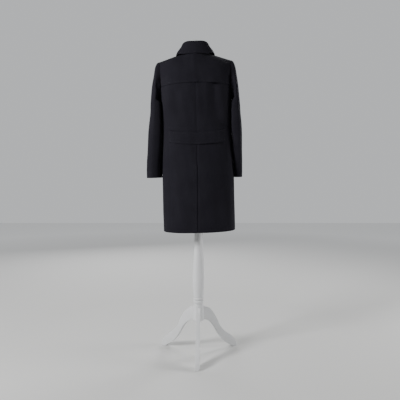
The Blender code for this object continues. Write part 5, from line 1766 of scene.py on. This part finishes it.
@dataclass
class TurnedStand:
    """The white tripod stand: a turned pole, a hub with two beads, and three flat curved legs."""
    shop: Workshop
    turn: float = math.radians(-1.5)
    leg_thickness: float = 0.0225
    leg_round: float = 0.0024
    pole: tuple = (
        (0.8990, 0.0200), (0.780, 0.0205), (0.700, 0.0212), (0.640, 0.0220), (0.600, 0.0230),
        (0.546, 0.0262), (0.493, 0.0296), (0.441, 0.0318), (0.407, 0.0323), (0.374, 0.0310),
        (0.341, 0.0290), (0.3160, 0.0268),
    )
    groove: float = 0.0232
    bead: float = 0.0056
    beads: tuple = ((0.3066, 0.0088), (0.2882, 0.0096))
    hub: tuple = ((0.2760, 0.0272), (0.2500, 0.0278), (0.2200, 0.0290), (0.1950, 0.0302))
    leg_top: tuple = (
        (0.0262, 0.2592), (0.040, 0.2565), (0.060, 0.2480), (0.082, 0.2270), (0.101, 0.1995),
        (0.118, 0.1690), (0.130, 0.1415), (0.146, 0.1185), (0.165, 0.0990), (0.187, 0.0820),
        (0.211, 0.0640), (0.226, 0.0470), (0.236, 0.0290), (0.2425, 0.0080), (0.2430, 0.0000),
    )
    leg_underside: tuple = (
        (0.2150, 0.0000), (0.2020, 0.0115), (0.177, 0.0275), (0.154, 0.0485), (0.131, 0.0780),
        (0.115, 0.1040), (0.099, 0.1310), (0.079, 0.1570), (0.057, 0.1755), (0.0262, 0.1895),
    )

    def build(self) -> None:
        """Make the pole, the hub and the legs."""
        top, foot = self.pole[0][0], self.pole[-1][0]
        fine = [(height, float(read_table(self.pole[::-1], height)[0])) for height in np.linspace(top, foot, 60)]
        profile = [(top, 0.0), (top, 0.0190), (0.8980, fine[0][1])] + fine[1:-1]
        profile += [(0.3170, 0.0268), (foot, 0.0258), (foot, 0.0)]
        self.turned("pole_turned", profile, "pole")
        profile = [(0.3157, 0.0), (0.3157, self.groove)]
        for middle, half_height in self.beads:
            for angle in np.linspace(0.0, math.pi, 15):
                profile.append((middle + half_height * math.cos(angle), self.groove + self.bead * math.sin(angle)))
        profile += [(0.2772, 0.0262), *self.hub, (0.1900, 0.0301), (0.1858, 0.0290), (0.1838, 0.0272),
                    (0.1830, 0.0245), (0.1830, 0.0)]
        self.turned("hub_turned", profile, "hub")
        for name, angle in (("leg_back", 90.0), ("leg_front_left", -30.0), ("leg_front_right", 210.0)):
            self.leg(name, math.radians(angle) + self.turn)

    def turned(self, name: str, profile: list, node: str) -> None:
        """Make a turned piece."""
        points, faces = turned_mesh(profile, 96)
        self.shop.add(name, np.array(points), faces, PaintFinish, "white_paint", (node,), leaning=False,
                      sharp=35.0)

    def leg(self, name: str, angle: float) -> None:
        """Make one leg, standing out from the hub at an angle about Z.

        Args:
            name: the node that it stands for.
            angle: its direction.
        """
        outline = np.concatenate([smooth_curve(np.array(side), 4) for side in (self.leg_top, self.leg_underside)])
        shape = bmesh.new()
        half = self.leg_thickness / 2
        rings = [[shape.verts.new((distance, offset, height)) for distance, height in outline]
                 for offset in (-half, half)]
        faces = [shape.faces.new(rings[0]), shape.faces.new(rings[1][::-1])]
        for index in range(len(outline)):
            after = (index + 1) % len(outline)
            shape.faces.new((rings[0][after], rings[0][index], rings[1][index], rings[1][after]))
        bmesh.ops.recalc_face_normals(shape, faces=shape.faces)
        edges = list({edge for face in faces for edge in face.edges})
        bmesh.ops.bevel(shape, geom=edges, offset=self.leg_round, segments=4, profile=0.5, affect="EDGES",
                        clamp_overlap=True)
        bmesh.ops.transform(shape, matrix=Matrix.Rotation(angle, 4, "Z"), verts=shape.verts)
        mesh = bpy.data.meshes.new(name)
        shape.to_mesh(mesh)
        shape.free()
        points = np.array([vertex.co for vertex in mesh.vertices])
        sides = [tuple(face.vertices) for face in mesh.polygons]
        self.shop.add(f"{name}_shaped", points, sides, PaintFinish, "white_paint", (name,), leaning=False,
                      sharp=50.0)
        bpy.data.meshes.remove(mesh)


def smooth_curve(points: np.ndarray, parts: int) -> np.ndarray:
    """Return a smooth curve through points, with a number of steps between each two."""
    ahead = np.concatenate((points[1:], points[-1:]))
    behind = np.concatenate((points[:1], points[:-1]))
    slope = (ahead - behind) / 2
    share = np.linspace(0.0, 1.0, parts, endpoint=False)[None, :, None]
    a, b = points[:-1, None], points[1:, None]
    first, last = slope[:-1, None], slope[1:, None]
    curve = (a * (1 - 3 * share ** 2 + 2 * share ** 3) + b * (3 * share ** 2 - 2 * share ** 3)
             + first * (share - 2 * share ** 2 + share ** 3) + last * (share ** 3 - share ** 2))
    return np.concatenate((curve.reshape(-1, points.shape[1]), points[-1:]))


@dataclass
class Studio:
    """The plain pale floor, the soft lights and the camera at the photograph's angle."""
    shop: Workshop
    surround_light: float = 0.13
    surround_seen: float = 0.62
    surround_colour: tuple = (0.92, 0.94, 0.96, 1.0)
    floor_colour: tuple = (0.62, 0.62, 0.61, 1.0)
    floor_reach: float = 6.0
    far_glow: float = 0.42
    lens: float = 43.218
    shift: float = 0.00375
    distance: float = 2.585
    eye_height: float = 1.034
    tilt: float = math.radians(4.168)
    # Lights: name, place, size, power
    lamps: tuple = (
        ("key", (2.40, 1.62, 2.20), 0.9, 132.0),
        ("side", (-3.0, 0.1, 1.1), 1.0, 50.0),
        ("rim", (-1.6, -1.8, 2.6), 0.9, 40.0),
        ("front", (0.9, -3.0, 2.0), 2.0, 50.0),
    )

    def build(self) -> None:
        """Make the floor, the lights and the camera."""
        self.floor()
        self.surround()
        self.lights()
        self.camera()

    def floor(self) -> None:
        """Make the floor, whose far parts are lightened to the surround's tone where they are seen."""
        maker = MaterialMaker("studio_pale")
        tree = maker.tree
        place = add_node(tree, "NewGeometry", {}).outputs["Position"]
        distance = add_node(tree, "VectorMath", {0: place}, operation="LENGTH").outputs["Value"]
        far = add_node(tree, "MapRange", {"From Min": 1.2, "From Max": 5.0, "To Max": self.far_glow,
                                          "Value": distance}).outputs["Result"]
        seen = add_node(tree, "LightPath", {}).outputs["Is Camera Ray"]
        material = maker.finished({"Base Color": self.floor_colour, "Roughness": 0.8,
                                   "Emission Color": self.surround_colour,
                                   "Emission Strength": calculated(tree, "MULTIPLY", far, seen)})
        reach = self.floor_reach
        corners = [(-reach, -reach, 0), (reach, -reach, 0), (reach, reach, 0), (-reach, reach, 0)]
        mesh = new_mesh("studio_floor", corners, [(0, 1, 2, 3)])
        mesh.materials.append(material)
        floor = placed("studio_floor", mesh)

    def surround(self) -> None:
        """Make the pale surround, which is brighter to the eye than as a light."""
        world = bpy.data.worlds.new("studio_surround")
        bpy.context.scene.world = world
        world.use_nodes = True
        tree = world.node_tree
        seen = add_node(tree, "LightPath", {}).outputs["Is Camera Ray"]
        strength = add_node(tree, "MapRange", {"To Min": self.surround_light, "To Max": self.surround_seen,
                                               "Value": seen})
        feed(tree, tree.nodes["Background"], {"Color": self.surround_colour,
                                              "Strength": strength.outputs["Result"]})

    def lights(self) -> None:
        """Make a key light behind the wearer's left, a side light, a rim light and one for the front."""
        middle = Vector((self.shop.axis.x, self.shop.axis.y, 1.1))
        for name, place, size, power in self.lamps:
            light = bpy.data.lights.new(name, "AREA")
            light.size = size
            light.energy = power
            lamp = placed(name, light)
            lamp.location = place
            lamp.rotation_euler = (middle - Vector(place)).to_track_quat("-Z", "Y").to_euler()

    def camera(self) -> None:
        """Make the camera behind the coat, at the photograph's distance and height."""
        lens = bpy.data.cameras.new("camera")
        lens.sensor_width = 36.0
        lens.lens = self.lens
        lens.shift_x = self.shift
        camera = placed("camera", lens)
        camera.location = (self.shop.axis.x, self.shop.axis.y + self.distance, self.eye_height)
        camera.rotation_euler = (math.pi / 2 - self.tilt, 0.0, math.pi)
        bpy.context.scene.camera = camera


def main() -> None:
    """Build every piece and the studio, in order."""
    logging.basicConfig(level=logging.INFO, format="%(message)s")
    low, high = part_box("pole")
    shop = Workshop(axis=Vector(((low.x + high.x) / 2, (low.y + high.y) / 2, 0.0)))
    shape = CoatShape()
    panels = BodyPanels(shop, shape)
    stitcher = Stitcher(shop)
    panels.build()
    BackOverlays(shop, panels, stitcher).build()
    Sleeves(shop, panels, stitcher).build()
    Collar(shop, stitcher).build()
    PocketWelts(shop, shape, stitcher).build()
    Buttons(shop, panels).build()
    panels.sew(stitcher)
    DressForm(shop, panels).build()
    TurnedStand(shop).build()
    Studio(shop).build()


if __name__ == "__main__":
    main()
